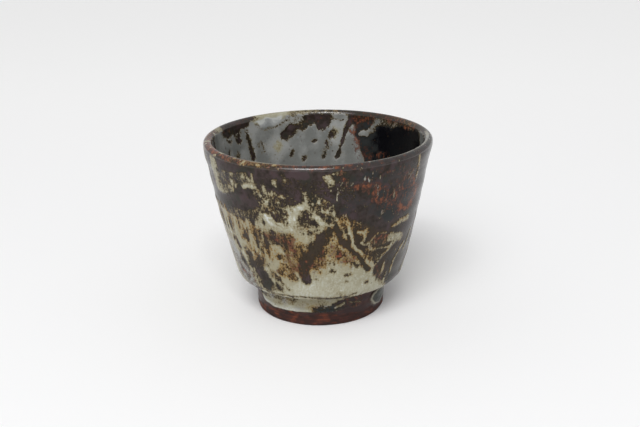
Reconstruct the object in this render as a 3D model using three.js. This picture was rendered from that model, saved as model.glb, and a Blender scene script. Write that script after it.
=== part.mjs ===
// A hand-thrown stoneware tea bowl: the clay body, its foot ring and the glaze coats that lie on them.
// Millimetres, +Z up. The origin is the centre of the ring that the bowl stands on.
// Angles go round the bowl in degrees, from the front (-Y) towards the right (+X).
import * as THREE from "three";

const { degToRad, lerp, smoothstep } = THREE.MathUtils;

// Outside, measured over the dark glaze
const RIM_DIAMETER = 100; // the widest part of the lip
const BOWL_HEIGHT = 78.4; // resting face to the crest of the lip
const LIP_DROP = 2; // crest of the lip down to its widest part
const LIP_FLARE = 3; // upright stretch under the lip's widest part
const NECK_INSET = 1.4; // how far the waist under the lip draws in from it
const NECK_DROP = 9.4; // crest of the lip down to the waist
const WALL_BELLY = 0.6; // how far the wall bows out between shoulder and waist
const SHOULDER_DIAMETER = 76.4; // where the wall starts to turn under
const SHOULDER_RISE = 6.4; // top of the foot ring up to the shoulder
const HEEL_DIAMETER = 67.6; // where the wall has turned under
const HEEL_RISE = 1.3; // top of the foot ring up to the heel

// Inside, measured over the dark glaze
const LIP_WIDTH = 4; // across the lip
const WALL_THICKNESS = 5.2; // at the height of the shoulder
const INNER_STRAIGHT = 10; // how far the inside drops before it slopes in
const FLOOR_THICKNESS = 8; // in the middle of the bowl
const FLOOR_ROUND = 14; // reach of the round between wall and floor along each

// Foot ring
const FOOT_DIAMETER = 58.6; // at the top of the ring
const FOOT_BASE_DIAMETER = 57.6; // at the resting face
const FOOT_HEIGHT = 14;
const FOOT_RING_WIDTH = 6.2; // at the resting face
const FOOT_EDGE_ROUND = 1; // both edges of the resting face
const RECESS_DEPTH = 7; // resting face up to the clay inside the ring
const SLIP_JOINT = 0.3; // slip between the foot ring and the body

// Glaze coats
const IRON_COAT = 0.6;
const PALE_COAT = 0.5;
const COAT_GAP = 0.3; // clearance between a coat and what it lies on or meets
const BEAD_DEPTH = 1.3; // middle of the bead on the foot
const BEAD_EDGE_DEPTH = 0.3;
const BEAD_ANGLE = 61; // middle of the bead, round the foot
const BEAD_SPREAD = 9; // half of its width, in degrees
const BEAD_HEIGHT = 6.5;
const BEAD_DROP = 7; // top of the foot ring down to the middle of the bead
const BEAD_END = 0.94; // share of the half width where the bead's outline is cut off square

// Poured pale glaze. A drop is how far the deepest dip of the pour's ragged edge lies below the widest part
// of the lip, measured down the wall, or below the top of the foot ring. Each edge is a list of
// [angle, share of the drop].
const OUTER_POUR_DROP = 41;
const OUTER_POUR_EDGE = [
  [-90, 0.37], [-60, 0.63], [-42, 0.68], [-26, 0.49], [-18, 0.51], [-8, 0.27], [4, 0.46], [26, 0.8],
  [44, 0.71], [64, 1], [92, 0.85], [118, 0.54], [140, 0.71], [166, 0.34], [192, 0.73], [214, 0.46],
  [242, 0.61], [270, 0.37],
];
const INNER_POUR_DROP = 20;
const INNER_POUR_EDGE = [
  [157.5, 0.85], [172, 0.2], [192, 0.45], [208, 0.15], [224, 0.3], [244, 0.65], [262, 0.25], [330, 0.45],
  [397.5, 1],
];
const INNER_POUR_POOL = 20; // middle of the floor out to the lower edge of the pour
const FOOT_RUN_DROP = 8.8;
const FOOT_RUN_EDGE = [[-105, 0.45], [-84, 0.97], [-60, 0.85], [-42, 1], [-14, 0.86], [0, 0.68], [12, 0.4]];
const FOOT_RUN_TOP = 0.5; // top of the foot ring down to the top of the run

// Faceting
const SEGMENTS = 48; // round the bowl
const CURVE_STEPS = 4; // along each curve of a profile
const EDGE_STEPS = 2; // round each edge of the resting face
const WALL_ROWS = 10; // up a poured coat on the wall
const FOOT_ROWS = 4; // up a coat on the foot
const FOOT_RUN_COLUMNS = 20;
const BEAD_COLUMNS = 8;
const HEEL_CROWDING = 1.8; // how much the rows of the outer pour crowd towards the heel

// The glazed surface, drawn as radius and height
const heel = new THREE.Vector2(HEEL_DIAMETER / 2, FOOT_HEIGHT + HEEL_RISE);
const shoulder = new THREE.Vector2(SHOULDER_DIAMETER / 2, FOOT_HEIGHT + SHOULDER_RISE);
const neck = new THREE.Vector2(RIM_DIAMETER / 2 - NECK_INSET, BOWL_HEIGHT - NECK_DROP);
const lipOuter = new THREE.Vector2(RIM_DIAMETER / 2, BOWL_HEIGHT - LIP_DROP);
const lipInner = new THREE.Vector2(lipOuter.x - LIP_WIDTH, lipOuter.y);
const floorHeight = RECESS_DEPTH + FLOOR_THICKNESS;
const footInnerRadius = FOOT_BASE_DIAMETER / 2 - FOOT_RING_WIDTH;
const outside = outsideLine();
const lip = lipLine();
const inside = insideLine();
const footSide = footSideLine();

function joined(...curves) {
  const line = new THREE.CurvePath();
  curves.forEach((curve) => line.add(curve));
  return line;
}

// The point of a straight line through two points at a given height
function pointAtHeight(from, to, height) {
  return from.clone().lerp(to, (height - from.y) / (to.y - from.y));
}

// From the heel up to the widest part of the lip
function outsideLine() {
  const across = new THREE.Vector2(neck.y - shoulder.y, shoulder.x - neck.x).normalize();
  const belly = shoulder.clone().lerp(neck, 0.5).addScaledVector(across, 2 * WALL_BELLY);
  const corner = pointAtHeight(belly, shoulder, heel.y);
  const flare = new THREE.Vector2(lipOuter.x, lipOuter.y - LIP_FLARE);
  return joined(
    new THREE.QuadraticBezierCurve(heel, corner, shoulder),
    new THREE.QuadraticBezierCurve(shoulder, belly, neck),
    new THREE.QuadraticBezierCurve(neck, flare, lipOuter),
  );
}

// Over the lip, from the outside to the inside, clear of the coats on the wall
function lipLine() {
  const middle = (lipOuter.x + lipInner.x) / 2;
  const start = COAT_GAP / LIP_DROP;
  return joined(new THREE.EllipseCurve(middle, lipOuter.y, LIP_WIDTH / 2, LIP_DROP, start, Math.PI - start));
}

// From the lip down the inside to the middle of the floor
function insideLine() {
  const bend = new THREE.Vector2(lipInner.x, lipInner.y - INNER_STRAIGHT);
  const wallFoot = new THREE.Vector2(shoulder.x - WALL_THICKNESS, shoulder.y);
  const corner = pointAtHeight(bend, wallFoot, floorHeight);
  const wallEnd = bend.clone().sub(corner).setLength(FLOOR_ROUND).add(corner);
  const floorEdge = new THREE.Vector2(corner.x - FLOOR_ROUND, floorHeight);
  return joined(
    new THREE.QuadraticBezierCurve(lipInner, bend, wallEnd),
    new THREE.QuadraticBezierCurve(wallEnd, corner, floorEdge),
    new THREE.LineCurve(floorEdge, new THREE.Vector2(0, floorHeight)),
  );
}

// Up the outer side of the foot ring
function footSideLine() {
  const base = new THREE.Vector2(FOOT_BASE_DIAMETER / 2, FOOT_EDGE_ROUND);
  const top = new THREE.Vector2(FOOT_DIAMETER / 2, FOOT_HEIGHT);
  return joined(new THREE.LineCurve(base, top));
}

// A point of a curve, moved out of the clay by a distance
function offsetPoint(curve, share, distance) {
  const tangent = curve.getTangent(share);
  const outward = new THREE.Vector2(tangent.y, -tangent.x);
  return curve.getPoint(share).addScaledVector(outward, distance);
}

// Points along a line, moved out of the clay by a distance
function offsetPoints(line, distance) {
  const points = [offsetPoint(line.curves[0], 0, distance)];
  for (const curve of line.curves) {
    const steps = curve.isLineCurve ? 1 : CURVE_STEPS;
    for (let step = 1; step <= steps; step += 1) {
      points.push(offsetPoint(curve, step / steps, distance));
    }
  }
  return points;
}

// A ring turned from a profile in radius and height
function turned(profile) {
  return new THREE.LatheGeometry(profile, SEGMENTS).rotateX(Math.PI / 2);
}

function clayPoints(line) {
  return offsetPoints(line, -IRON_COAT - COAT_GAP);
}

// The thrown wall and floor, with the boss of clay that the foot ring goes round
function clayBody() {
  const seatHeight = FOOT_HEIGHT + SLIP_JOINT;
  const bossRadius = footInnerRadius - SLIP_JOINT;
  const underside = [
    new THREE.Vector2(0, RECESS_DEPTH),
    new THREE.Vector2(bossRadius, RECESS_DEPTH),
    new THREE.Vector2(bossRadius, seatHeight),
    new THREE.Vector2(FOOT_DIAMETER / 2, seatHeight),
  ];
  return turned([...underside, ...clayPoints(outside), ...clayPoints(lip), ...clayPoints(inside)]);
}

function footRing() {
  const outerRadius = FOOT_BASE_DIAMETER / 2;
  const profile = new THREE.Path();
  profile.moveTo(footInnerRadius, FOOT_EDGE_ROUND);
  profile.quadraticCurveTo(footInnerRadius, 0, footInnerRadius + FOOT_EDGE_ROUND, 0);
  profile.lineTo(outerRadius - FOOT_EDGE_ROUND, 0);
  profile.quadraticCurveTo(outerRadius, 0, outerRadius, FOOT_EDGE_ROUND);
  profile.lineTo(FOOT_DIAMETER / 2, FOOT_HEIGHT);
  profile.lineTo(footInnerRadius, FOOT_HEIGHT);
  profile.lineTo(footInnerRadius, FOOT_EDGE_ROUND);
  return turned(profile.getPoints(EDGE_STEPS));
}

// The dark glaze between the clay and the glazed surface, as a closed ring
function ironRing(line) {
  const surface = offsetPoints(line, 0);
  const underside = offsetPoints(line, -IRON_COAT).reverse();
  return turned([...surface, ...underside, surface[0]]);
}

// The dark glaze inside, which closes over the floor
function ironCup(line) {
  const surface = offsetPoints(line, 0);
  const underside = offsetPoints(line, -IRON_COAT).reverse();
  return turned([...underside, ...surface]);
}

// The share of its drop that a poured edge has at an angle, eased from one listed point to the next
function shareAt(edge, angle) {
  const after = edge.findIndex(([listed], place) => place > 0 && listed >= angle);
  const [startAngle, startShare] = edge[after - 1];
  const [endAngle, endShare] = edge[after];
  return lerp(startShare, endShare, smoothstep(angle, startAngle, endAngle));
}

// One cross-section of a poured coat: up its underside and back down its surface
function coatSection(coat, angle) {
  const across = (2 * (angle - coat.from)) / (coat.to - coat.from) - 1;
  const length = coat.line.getLength();
  const underside = [];
  const surface = [];
  for (let row = 0; row <= coat.rows; row += 1) {
    const up = (row / coat.rows) ** (coat.crowding ?? 1);
    const share = lerp(coat.low(angle, across), coat.high(angle, across), up) / length;
    underside.push(offsetPoint(coat.line, share, COAT_GAP));
    surface.unshift(offsetPoint(coat.line, share, COAT_GAP + coat.depth(across, 2 * up - 1)));
  }
  return [...underside, ...surface];
}

// A skin of poured glaze over part of a line, between two edges that change with the angle
function pouredCoat(coat) {
  const wraps = coat.to - coat.from === 360;
  const sectionCount = wraps ? coat.columns : coat.columns + 1;
  const sectionSize = 2 * (coat.rows + 1);
  const positions = [];
  for (let column = 0; column < sectionCount; column += 1) {
    const angle = lerp(coat.from, coat.to, column / coat.columns);
    const turn = degToRad(angle);
    for (const { x: radius, y: height } of coatSection(coat, angle)) {
      positions.push(radius * Math.sin(turn), -radius * Math.cos(turn), height);
    }
  }
  const triangles = [];
  const addQuad = (a, b, c, d) => triangles.push(a, b, c, a, c, d);
  for (let column = 0; column < coat.columns; column += 1) {
    const here = column * sectionSize;
    const next = ((column + 1) % sectionCount) * sectionSize;
    for (let place = 0; place < sectionSize; place += 1) {
      const beside = (place + 1) % sectionSize;
      addQuad(here + place, here + beside, next + beside, next + place);
    }
  }
  if (!wraps) {
    const last = coat.columns * sectionSize;
    for (let row = 0; row < coat.rows; row += 1) {
      const section = [row, sectionSize - 1 - row, sectionSize - 2 - row, row + 1];
      addQuad(...section);
      addQuad(...section.map((place) => last + place).reverse());
    }
  }
  const geometry = new THREE.BufferGeometry();
  geometry.setAttribute("position", new THREE.Float32BufferAttribute(positions, 3));
  geometry.setIndex(triangles);
  geometry.computeVertexNormals();
  return geometry;
}

function firstAngle(edge) {
  return edge[0][0];
}

function lastAngle(edge) {
  return edge[edge.length - 1][0];
}

function outerPaleGlaze() {
  const wallLength = outside.getLength();
  return pouredCoat({
    line: outside,
    from: firstAngle(OUTER_POUR_EDGE),
    to: lastAngle(OUTER_POUR_EDGE),
    columns: SEGMENTS,
    rows: WALL_ROWS,
    crowding: HEEL_CROWDING,
    low: () => 0,
    high: (angle) => wallLength - OUTER_POUR_DROP * shareAt(OUTER_POUR_EDGE, angle),
    depth: () => PALE_COAT,
  });
}

function innerPaleGlaze() {
  const from = firstAngle(INNER_POUR_EDGE);
  const to = lastAngle(INNER_POUR_EDGE);
  const lineLength = inside.getLength();
  return pouredCoat({
    line: inside,
    from,
    to,
    columns: Math.round((SEGMENTS * (to - from)) / 360),
    rows: WALL_ROWS,
    low: (angle) => INNER_POUR_DROP * shareAt(INNER_POUR_EDGE, angle),
    high: () => lineLength - INNER_POUR_POOL,
    depth: () => PALE_COAT,
  });
}

function footGlazeRun() {
  const sideLength = footSide.getLength();
  return pouredCoat({
    line: footSide,
    from: firstAngle(FOOT_RUN_EDGE),
    to: lastAngle(FOOT_RUN_EDGE),
    columns: FOOT_RUN_COLUMNS,
    rows: FOOT_ROWS,
    low: (angle) => sideLength - FOOT_RUN_DROP * shareAt(FOOT_RUN_EDGE, angle),
    high: () => sideLength - FOOT_RUN_TOP,
    depth: () => PALE_COAT,
  });
}

function footGlazeBead() {
  const middle = footSide.getLength() - BEAD_DROP;
  const halfHeight = (across) => (BEAD_HEIGHT / 2) * Math.sqrt(1 - (BEAD_END * across) ** 2);
  const dome = (across, up) => Math.sqrt((1 - across ** 2) * (1 - up ** 2));
  return pouredCoat({
    line: footSide,
    from: BEAD_ANGLE - BEAD_SPREAD,
    to: BEAD_ANGLE + BEAD_SPREAD,
    columns: BEAD_COLUMNS,
    rows: FOOT_ROWS,
    low: (angle, across) => middle - halfHeight(across),
    high: (angle, across) => middle + halfHeight(across),
    depth: (across, up) => lerp(BEAD_EDGE_DEPTH, BEAD_DEPTH, dome(across, up)),
  });
}

const bareClay = { color: 0x55372f, roughness: 0.85, metalness: 0 };
const ironGlaze = { color: 0x4a4242, roughness: 0.3, metalness: 0 };
const rustGlaze = { color: 0x6b3a2a, roughness: 0.25, metalness: 0 };
const paleGlaze = { color: 0xaba793, roughness: 0.35, metalness: 0 };
const ashBead = { color: 0x6d7266, roughness: 0.2, metalness: 0 };

const bowl = new THREE.Group();

function addPiece(name, geometry, finish) {
  const piece = new THREE.Mesh(geometry, new THREE.MeshStandardMaterial(finish));
  piece.name = name;
  bowl.add(piece);
}

addPiece("clay_body", clayBody(), bareClay);
addPiece("foot_ring", footRing(), bareClay);
addPiece("outer_iron_glaze", ironRing(outside), ironGlaze);
addPiece("rim_glaze", ironRing(lip), rustGlaze);
addPiece("inner_iron_glaze", ironCup(inside), ironGlaze);
addPiece("outer_pale_glaze", outerPaleGlaze(), paleGlaze);
addPiece("inner_pale_glaze", innerPaleGlaze(), paleGlaze);
addPiece("foot_glaze_run", footGlazeRun(), paleGlaze);
addPiece("foot_glaze_bead", footGlazeBead(), ashBead);

export default bowl;
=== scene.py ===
import math
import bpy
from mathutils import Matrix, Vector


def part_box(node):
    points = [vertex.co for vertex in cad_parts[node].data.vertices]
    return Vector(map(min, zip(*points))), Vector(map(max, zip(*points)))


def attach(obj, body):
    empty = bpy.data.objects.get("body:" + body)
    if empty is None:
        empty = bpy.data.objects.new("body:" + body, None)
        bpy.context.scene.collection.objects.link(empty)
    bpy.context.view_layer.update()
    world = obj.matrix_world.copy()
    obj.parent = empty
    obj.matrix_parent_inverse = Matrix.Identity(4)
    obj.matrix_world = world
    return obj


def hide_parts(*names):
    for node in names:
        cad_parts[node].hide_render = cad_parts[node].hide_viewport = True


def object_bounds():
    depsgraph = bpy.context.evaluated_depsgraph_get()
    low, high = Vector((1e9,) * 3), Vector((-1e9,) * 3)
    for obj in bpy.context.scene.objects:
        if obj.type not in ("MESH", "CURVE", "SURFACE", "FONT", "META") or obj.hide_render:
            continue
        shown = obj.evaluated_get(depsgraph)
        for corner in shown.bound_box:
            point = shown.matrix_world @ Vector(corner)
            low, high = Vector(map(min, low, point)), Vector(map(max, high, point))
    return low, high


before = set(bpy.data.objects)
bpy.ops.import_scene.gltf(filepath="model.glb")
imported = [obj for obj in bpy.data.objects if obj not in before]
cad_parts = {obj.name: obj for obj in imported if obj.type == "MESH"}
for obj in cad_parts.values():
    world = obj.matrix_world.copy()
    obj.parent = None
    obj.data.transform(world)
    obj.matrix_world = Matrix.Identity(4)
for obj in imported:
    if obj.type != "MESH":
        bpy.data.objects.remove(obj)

from types import SimpleNamespace

import bpy
import numpy as np
from mathutils import Matrix, Vector

cad_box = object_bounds()

# Lengths are in millimetres and angles in degrees until a mesh is made.
# An angle is counted from the front of the bowl towards its right side.
MM = 0.001
FULL_TURN = 360

# The outline of the bowl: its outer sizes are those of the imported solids
foot_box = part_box("foot_ring")
RIM_RADIUS = cad_box[1].x / MM
BOWL_HEIGHT = cad_box[1].z / MM
LIP_WIDTH = 4
LIP_DROP = 2
LIP_FLARE = 3
NECK_INSET = 1.4
NECK_DROP = 9.4
WALL_BELLY = 0.6
WALL_THICKNESS = 5.2
SHOULDER_RADIUS = 38.2
SHOULDER_RISE = 6.4
HEEL_RADIUS = 33.8
HEEL_RISE = 1.3
INNER_STRAIGHT = 10
FLOOR_THICKNESS = 8
FLOOR_ROUND = 14
RECESS_DEPTH = 7
COAT_DEPTH = 0.9

# The foot ring
FOOT_RADIUS = foot_box[1].x / MM
FOOT_HEIGHT = foot_box[1].z / MM
FOOT_TAPER = 0.5
FOOT_WALL = 6.2
FOOT_EDGE_ROUND = 1
FOOT_FILLET = 1.2
RECESS_ROUND = 2.4
SUNK = 0.4

# Sheets of glaze on the foot ring: their reach round it and up it, their depth, and how far they sink in
RUN_ANGLES = (-78, 42)
RUN_HEIGHTS = (3.5, 13.6)
RUN_DEPTH = 0.6
RUN_ROLL = 0.25
RUN_SUNK = 0.3
BEAD_ANGLES = (40, 84)
BEAD_HEIGHTS = (1.8, 13)
BEAD_ANGLE = 61
BEAD_HEIGHT = 7.6
BEAD_HALF_ANGLE = 14.5
BEAD_HALF_HEIGHT = 4
BEAD_DEPTH = 1.25
BEAD_SUNK = 0.25
SHEET_BACKING = 0.8

# How far the hand-thrown wall strays from a true turned shape
OUT_OF_ROUND = 0.04
OVAL_TURN = 70
RIPPLE = 0.09
RIPPLE_PITCH = 8.5
DENTS = 0.36
DENT_SIZE = 15
DENTS_BELOW = 0.4
LIP_WAVE = 0.05
FLOOR_SPIRAL = 0.14
FLOOR_SPIRAL_PITCH = 5

# Marks of turning in the recess and on the foot ring
RECESS_MARKS = 0.12
RECESS_MARKS_PITCH = 2.6
FOOT_MARKS = 0.05
FOOT_MARKS_PITCH = 3.1
FOOT_LUMPS = 0.1
FOOT_GRAIN = 0.05
FOOT_SWELL = 0.1
FOOT_WEAR = 0.06

# How far melted pale glaze stands proud of the iron glaze
PALE_RELIEF = 0.22

# Mesh fineness: columns round the bowl, and columns and rows of the sheets on the foot ring
GLAZE_COLUMNS = 704
INNER_COLUMNS = 600
FOOT_COLUMNS = 480
CLAY_COLUMNS = 240
RUN_GRID = (420, 40)
BEAD_GRID = (120, 66)
HIDDEN_EVERY = 12
MERGE_GAP = 0.001
SHARP_ANGLE = 40

# Depths of pale glaze: from 1 it lies thick and white, below 0 the iron glaze is clean
THICK = 1.1
CREAM = 0.88
THIN = 0.5
OLIVE = 0.16
BARE = -0.3


# Curves in radius and height

def point(radius, height):
    return np.array([radius, height], dtype=float)


def curve(start, bend, end, steps):
    share = np.linspace(0, 1, steps + 1)[:, None]
    return (1 - share) ** 2 * start + 2 * share * (1 - share) * bend + share ** 2 * end


def straight(start, end, steps):
    share = np.linspace(0, 1, steps + 1)[:, None]
    return (1 - share) * start + share * end


def chained(*stretches):
    """One line from stretches that each start where the last one ends"""
    return np.vstack([stretches[0]] + [stretch[1:] for stretch in stretches[1:]])


def at_height(first, second, height):
    """The point at a height on the straight line through two points"""
    share = (height - first[1]) / (second[1] - first[1])
    return first + (second - first) * share


def outward(line):
    """Unit normals that point out of the clay, for a line that climbs the outside of the bowl"""
    along = np.gradient(line, axis=0)
    normals = np.column_stack([along[:, 1], -along[:, 0]])
    return normals / np.linalg.norm(normals, axis=1)[:, None]


def lengths(line):
    """Length along a line up to each of its points"""
    steps = np.linalg.norm(np.diff(line, axis=0), axis=1)
    return np.concatenate([[0], np.cumsum(steps)])


heel = point(HEEL_RADIUS, FOOT_HEIGHT + HEEL_RISE)
shoulder = point(SHOULDER_RADIUS, FOOT_HEIGHT + SHOULDER_RISE)
lip_outer = point(RIM_RADIUS, BOWL_HEIGHT - LIP_DROP)
lip_inner = point(RIM_RADIUS - LIP_WIDTH, BOWL_HEIGHT - LIP_DROP)
neck = point(RIM_RADIUS - NECK_INSET, BOWL_HEIGHT - NECK_DROP)
floor_height = RECESS_DEPTH + FLOOR_THICKNESS


def outside_line():
    """Up the outside of the glazed wall, from the heel to the lip"""
    climb = neck - shoulder
    across = point(climb[1], -climb[0]) / np.linalg.norm(climb)
    belly = (shoulder + neck) / 2 + across * 2 * WALL_BELLY
    corner = at_height(belly, shoulder, heel[1])
    flare = lip_outer - point(0, LIP_FLARE)
    return chained(
        curve(heel, corner, shoulder, steps=14),
        curve(shoulder, belly, neck, steps=92),
        curve(neck, flare, lip_outer, steps=16),
    )


def lip_line():
    """Over the rounded lip, from the outside to the inside"""
    turn = np.linspace(0, math.pi, 29)
    middle = (lip_outer + lip_inner) / 2
    return middle + np.column_stack([np.cos(turn) * LIP_WIDTH / 2, np.sin(turn) * LIP_DROP])


def inside_line():
    """Down the inside of the glazed wall, from the lip to the middle of the floor"""
    bend = lip_inner - point(0, INNER_STRAIGHT)
    wall_foot = shoulder - point(WALL_THICKNESS, 0)
    corner = at_height(bend, wall_foot, floor_height)
    wall_end = corner + (bend - corner) / np.linalg.norm(bend - corner) * FLOOR_ROUND
    floor_edge = point(corner[0] - FLOOR_ROUND, floor_height)
    return chained(
        curve(lip_inner, bend, wall_end, steps=84),
        curve(wall_end, corner, floor_edge, steps=30),
        straight(floor_edge, point(0, floor_height), steps=16),
    )


outside = outside_line()
lip = lip_line()
inside = inside_line()

# Lengths along the glazed skin, counted from the crest of the lip: less than 0 outside, more than 0 inside
lip_run = lengths(lip) - lengths(lip)[-1] / 2
outside_run = lengths(outside) - lengths(outside)[-1] + lip_run[0]
inside_run = lengths(inside) + lip_run[-1]


# Smooth random lumps and painted marks

LATTICE = 40
FIELDS = ("pale", "rust", "ochre", "slate")
LEAST_BLUR = 0.35
BLUR_PER_WIDTH = 0.42
STIR_SIZE = 5.5
STIR_LEAST_RADIUS = 5
DRAWN_DOWN = np.array([1, 1, 0.14])


def lumps(places, size, seed):
    """Smooth random lumps of about one size, from -1 to 1"""
    lattice = np.random.default_rng(seed).uniform(-1, 1, (LATTICE, LATTICE, LATTICE))
    scaled = places / size
    corner = np.floor(scaled).astype(int)
    part = scaled - corner
    part = part * part * (3 - 2 * part)
    total = np.zeros(len(places))
    for step in np.ndindex(2, 2, 2):
        weight = np.abs(1 - np.array(step) - part).prod(axis=1)
        cell = (corner + step) % LATTICE
        total += weight * lattice[cell[:, 0], cell[:, 1], cell[:, 2]]
    return total


def smooth_step(low, high, value):
    share = np.clip((value - low) / (high - low), 0, 1)
    return share * share * (3 - 2 * share)


def wrapped(angle):
    return (angle + FULL_TURN / 2) % FULL_TURN - FULL_TURN / 2


def distance_to(skin, path):
    """Distance over the wall from each point of a skin to a path of (angle, height)"""
    degree = np.radians(1) * skin.radius
    nearest = np.full(len(skin.angle), np.inf)
    for (angle, height), (next_angle, next_height) in zip(path, path[1:]):
        across = wrapped(skin.angle - angle) * degree
        up = skin.height - height
        step_across = (next_angle - angle) * degree
        step_up = next_height - height
        share = (across * step_across + up * step_up) / (step_across ** 2 + step_up ** 2 + 1e-9)
        share = np.clip(share, 0, 1)
        gap = np.hypot(across - share * step_across, up - share * step_up)
        nearest = np.minimum(nearest, gap)
    return nearest


def paint(field, skin, marks, softness):
    """Lays marks over a field in turn, each with a value, a width and a path, narrow ones crisper"""
    for value, width, path in marks:
        gap = distance_to(skin, path)
        blur = np.minimum(softness, LEAST_BLUR + BLUR_PER_WIDTH * width)
        share = smooth_step(width / 2 + blur, width / 2 - blur, gap)
        field += (value - field) * share


def painted(skin, marks, softness):
    """A field of 0 with marks laid over it"""
    field = np.zeros(len(skin.angle))
    paint(field, skin, marks, softness)
    return field


def uneven_softness(skin, seed):
    """How softly marks end: crisp in some places and melted in others"""
    return 0.9 + 2.4 * smooth_step(-0.3, 0.6, lumps(skin.place, size=13, seed=seed))


def layered_lumps(places, size, seed):
    """Lumps of one size with finer lumps on them"""
    fine = lumps(places, size / 2.3, seed + 1) + 0.6 * lumps(places, size / 5, seed + 2)
    return lumps(places, size, seed) + 0.6 * fine


def stirred(skin, reach, seed):
    """The same skin with its places stirred a little, so that marks get flowing edges"""
    across = reach * layered_lumps(skin.place, STIR_SIZE, seed)
    up = reach * layered_lumps(skin.place, STIR_SIZE, seed + 3)
    return SimpleNamespace(
        place=skin.place,
        radius=skin.radius,
        angle=skin.angle + np.degrees(across / np.maximum(skin.radius, STIR_LEAST_RADIUS)),
        height=skin.height + up,
    )


def streaks(skin, width, seed):
    """Runs that follow the fall of the glaze down the wall"""
    return lumps(skin.place * DRAWN_DOWN, width, seed)


# Heights on the outside: the thick low pour, the broken middle above it, and the heel edge, dark from thin
# glaze and from painted shade in the crease above the foot ring
LOW_POUR_START = 33
LOW_POUR_FULL = 24
BROKEN_END = 60
BROKEN_FULL = 50
HEEL_BARE_AND_SHADE_START = 16.8
HEEL_BARE_AND_SHADE_FULL = 15.4

# Heights above the floor inside, between which its pool of pale glaze starts and is full
POOL_START = 9
POOL_FULL = 1

# Where pale glaze was poured over the outside: upper edge of the pour as (angle, height)
OUTER_POUR_EDGE = [
    (-180, 51), (-170, 47), (-158, 46), (-148, 55), (-134, 51), (-122, 44), (-108, 50), (-96, 55),
    (-84, 54), (-74, 56), (-62, 53.5), (-50, 51.5), (-42, 51), (-34, 51), (-24, 50), (-14, 50),
    (-9, 51), (-4, 51), (0, 51), (7, 52), (12, 48), (16, 44), (20, 40), (26, 34.5), (31, 30),
    (35, 27), (40, 23), (45, 19.5), (52, 16), (62, 15), (75, 22), (84, 30), (96, 50), (108, 53),
    (118, 47), (132, 45), (146, 38), (158, 46), (172, 53), (180, 51),
]

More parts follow.
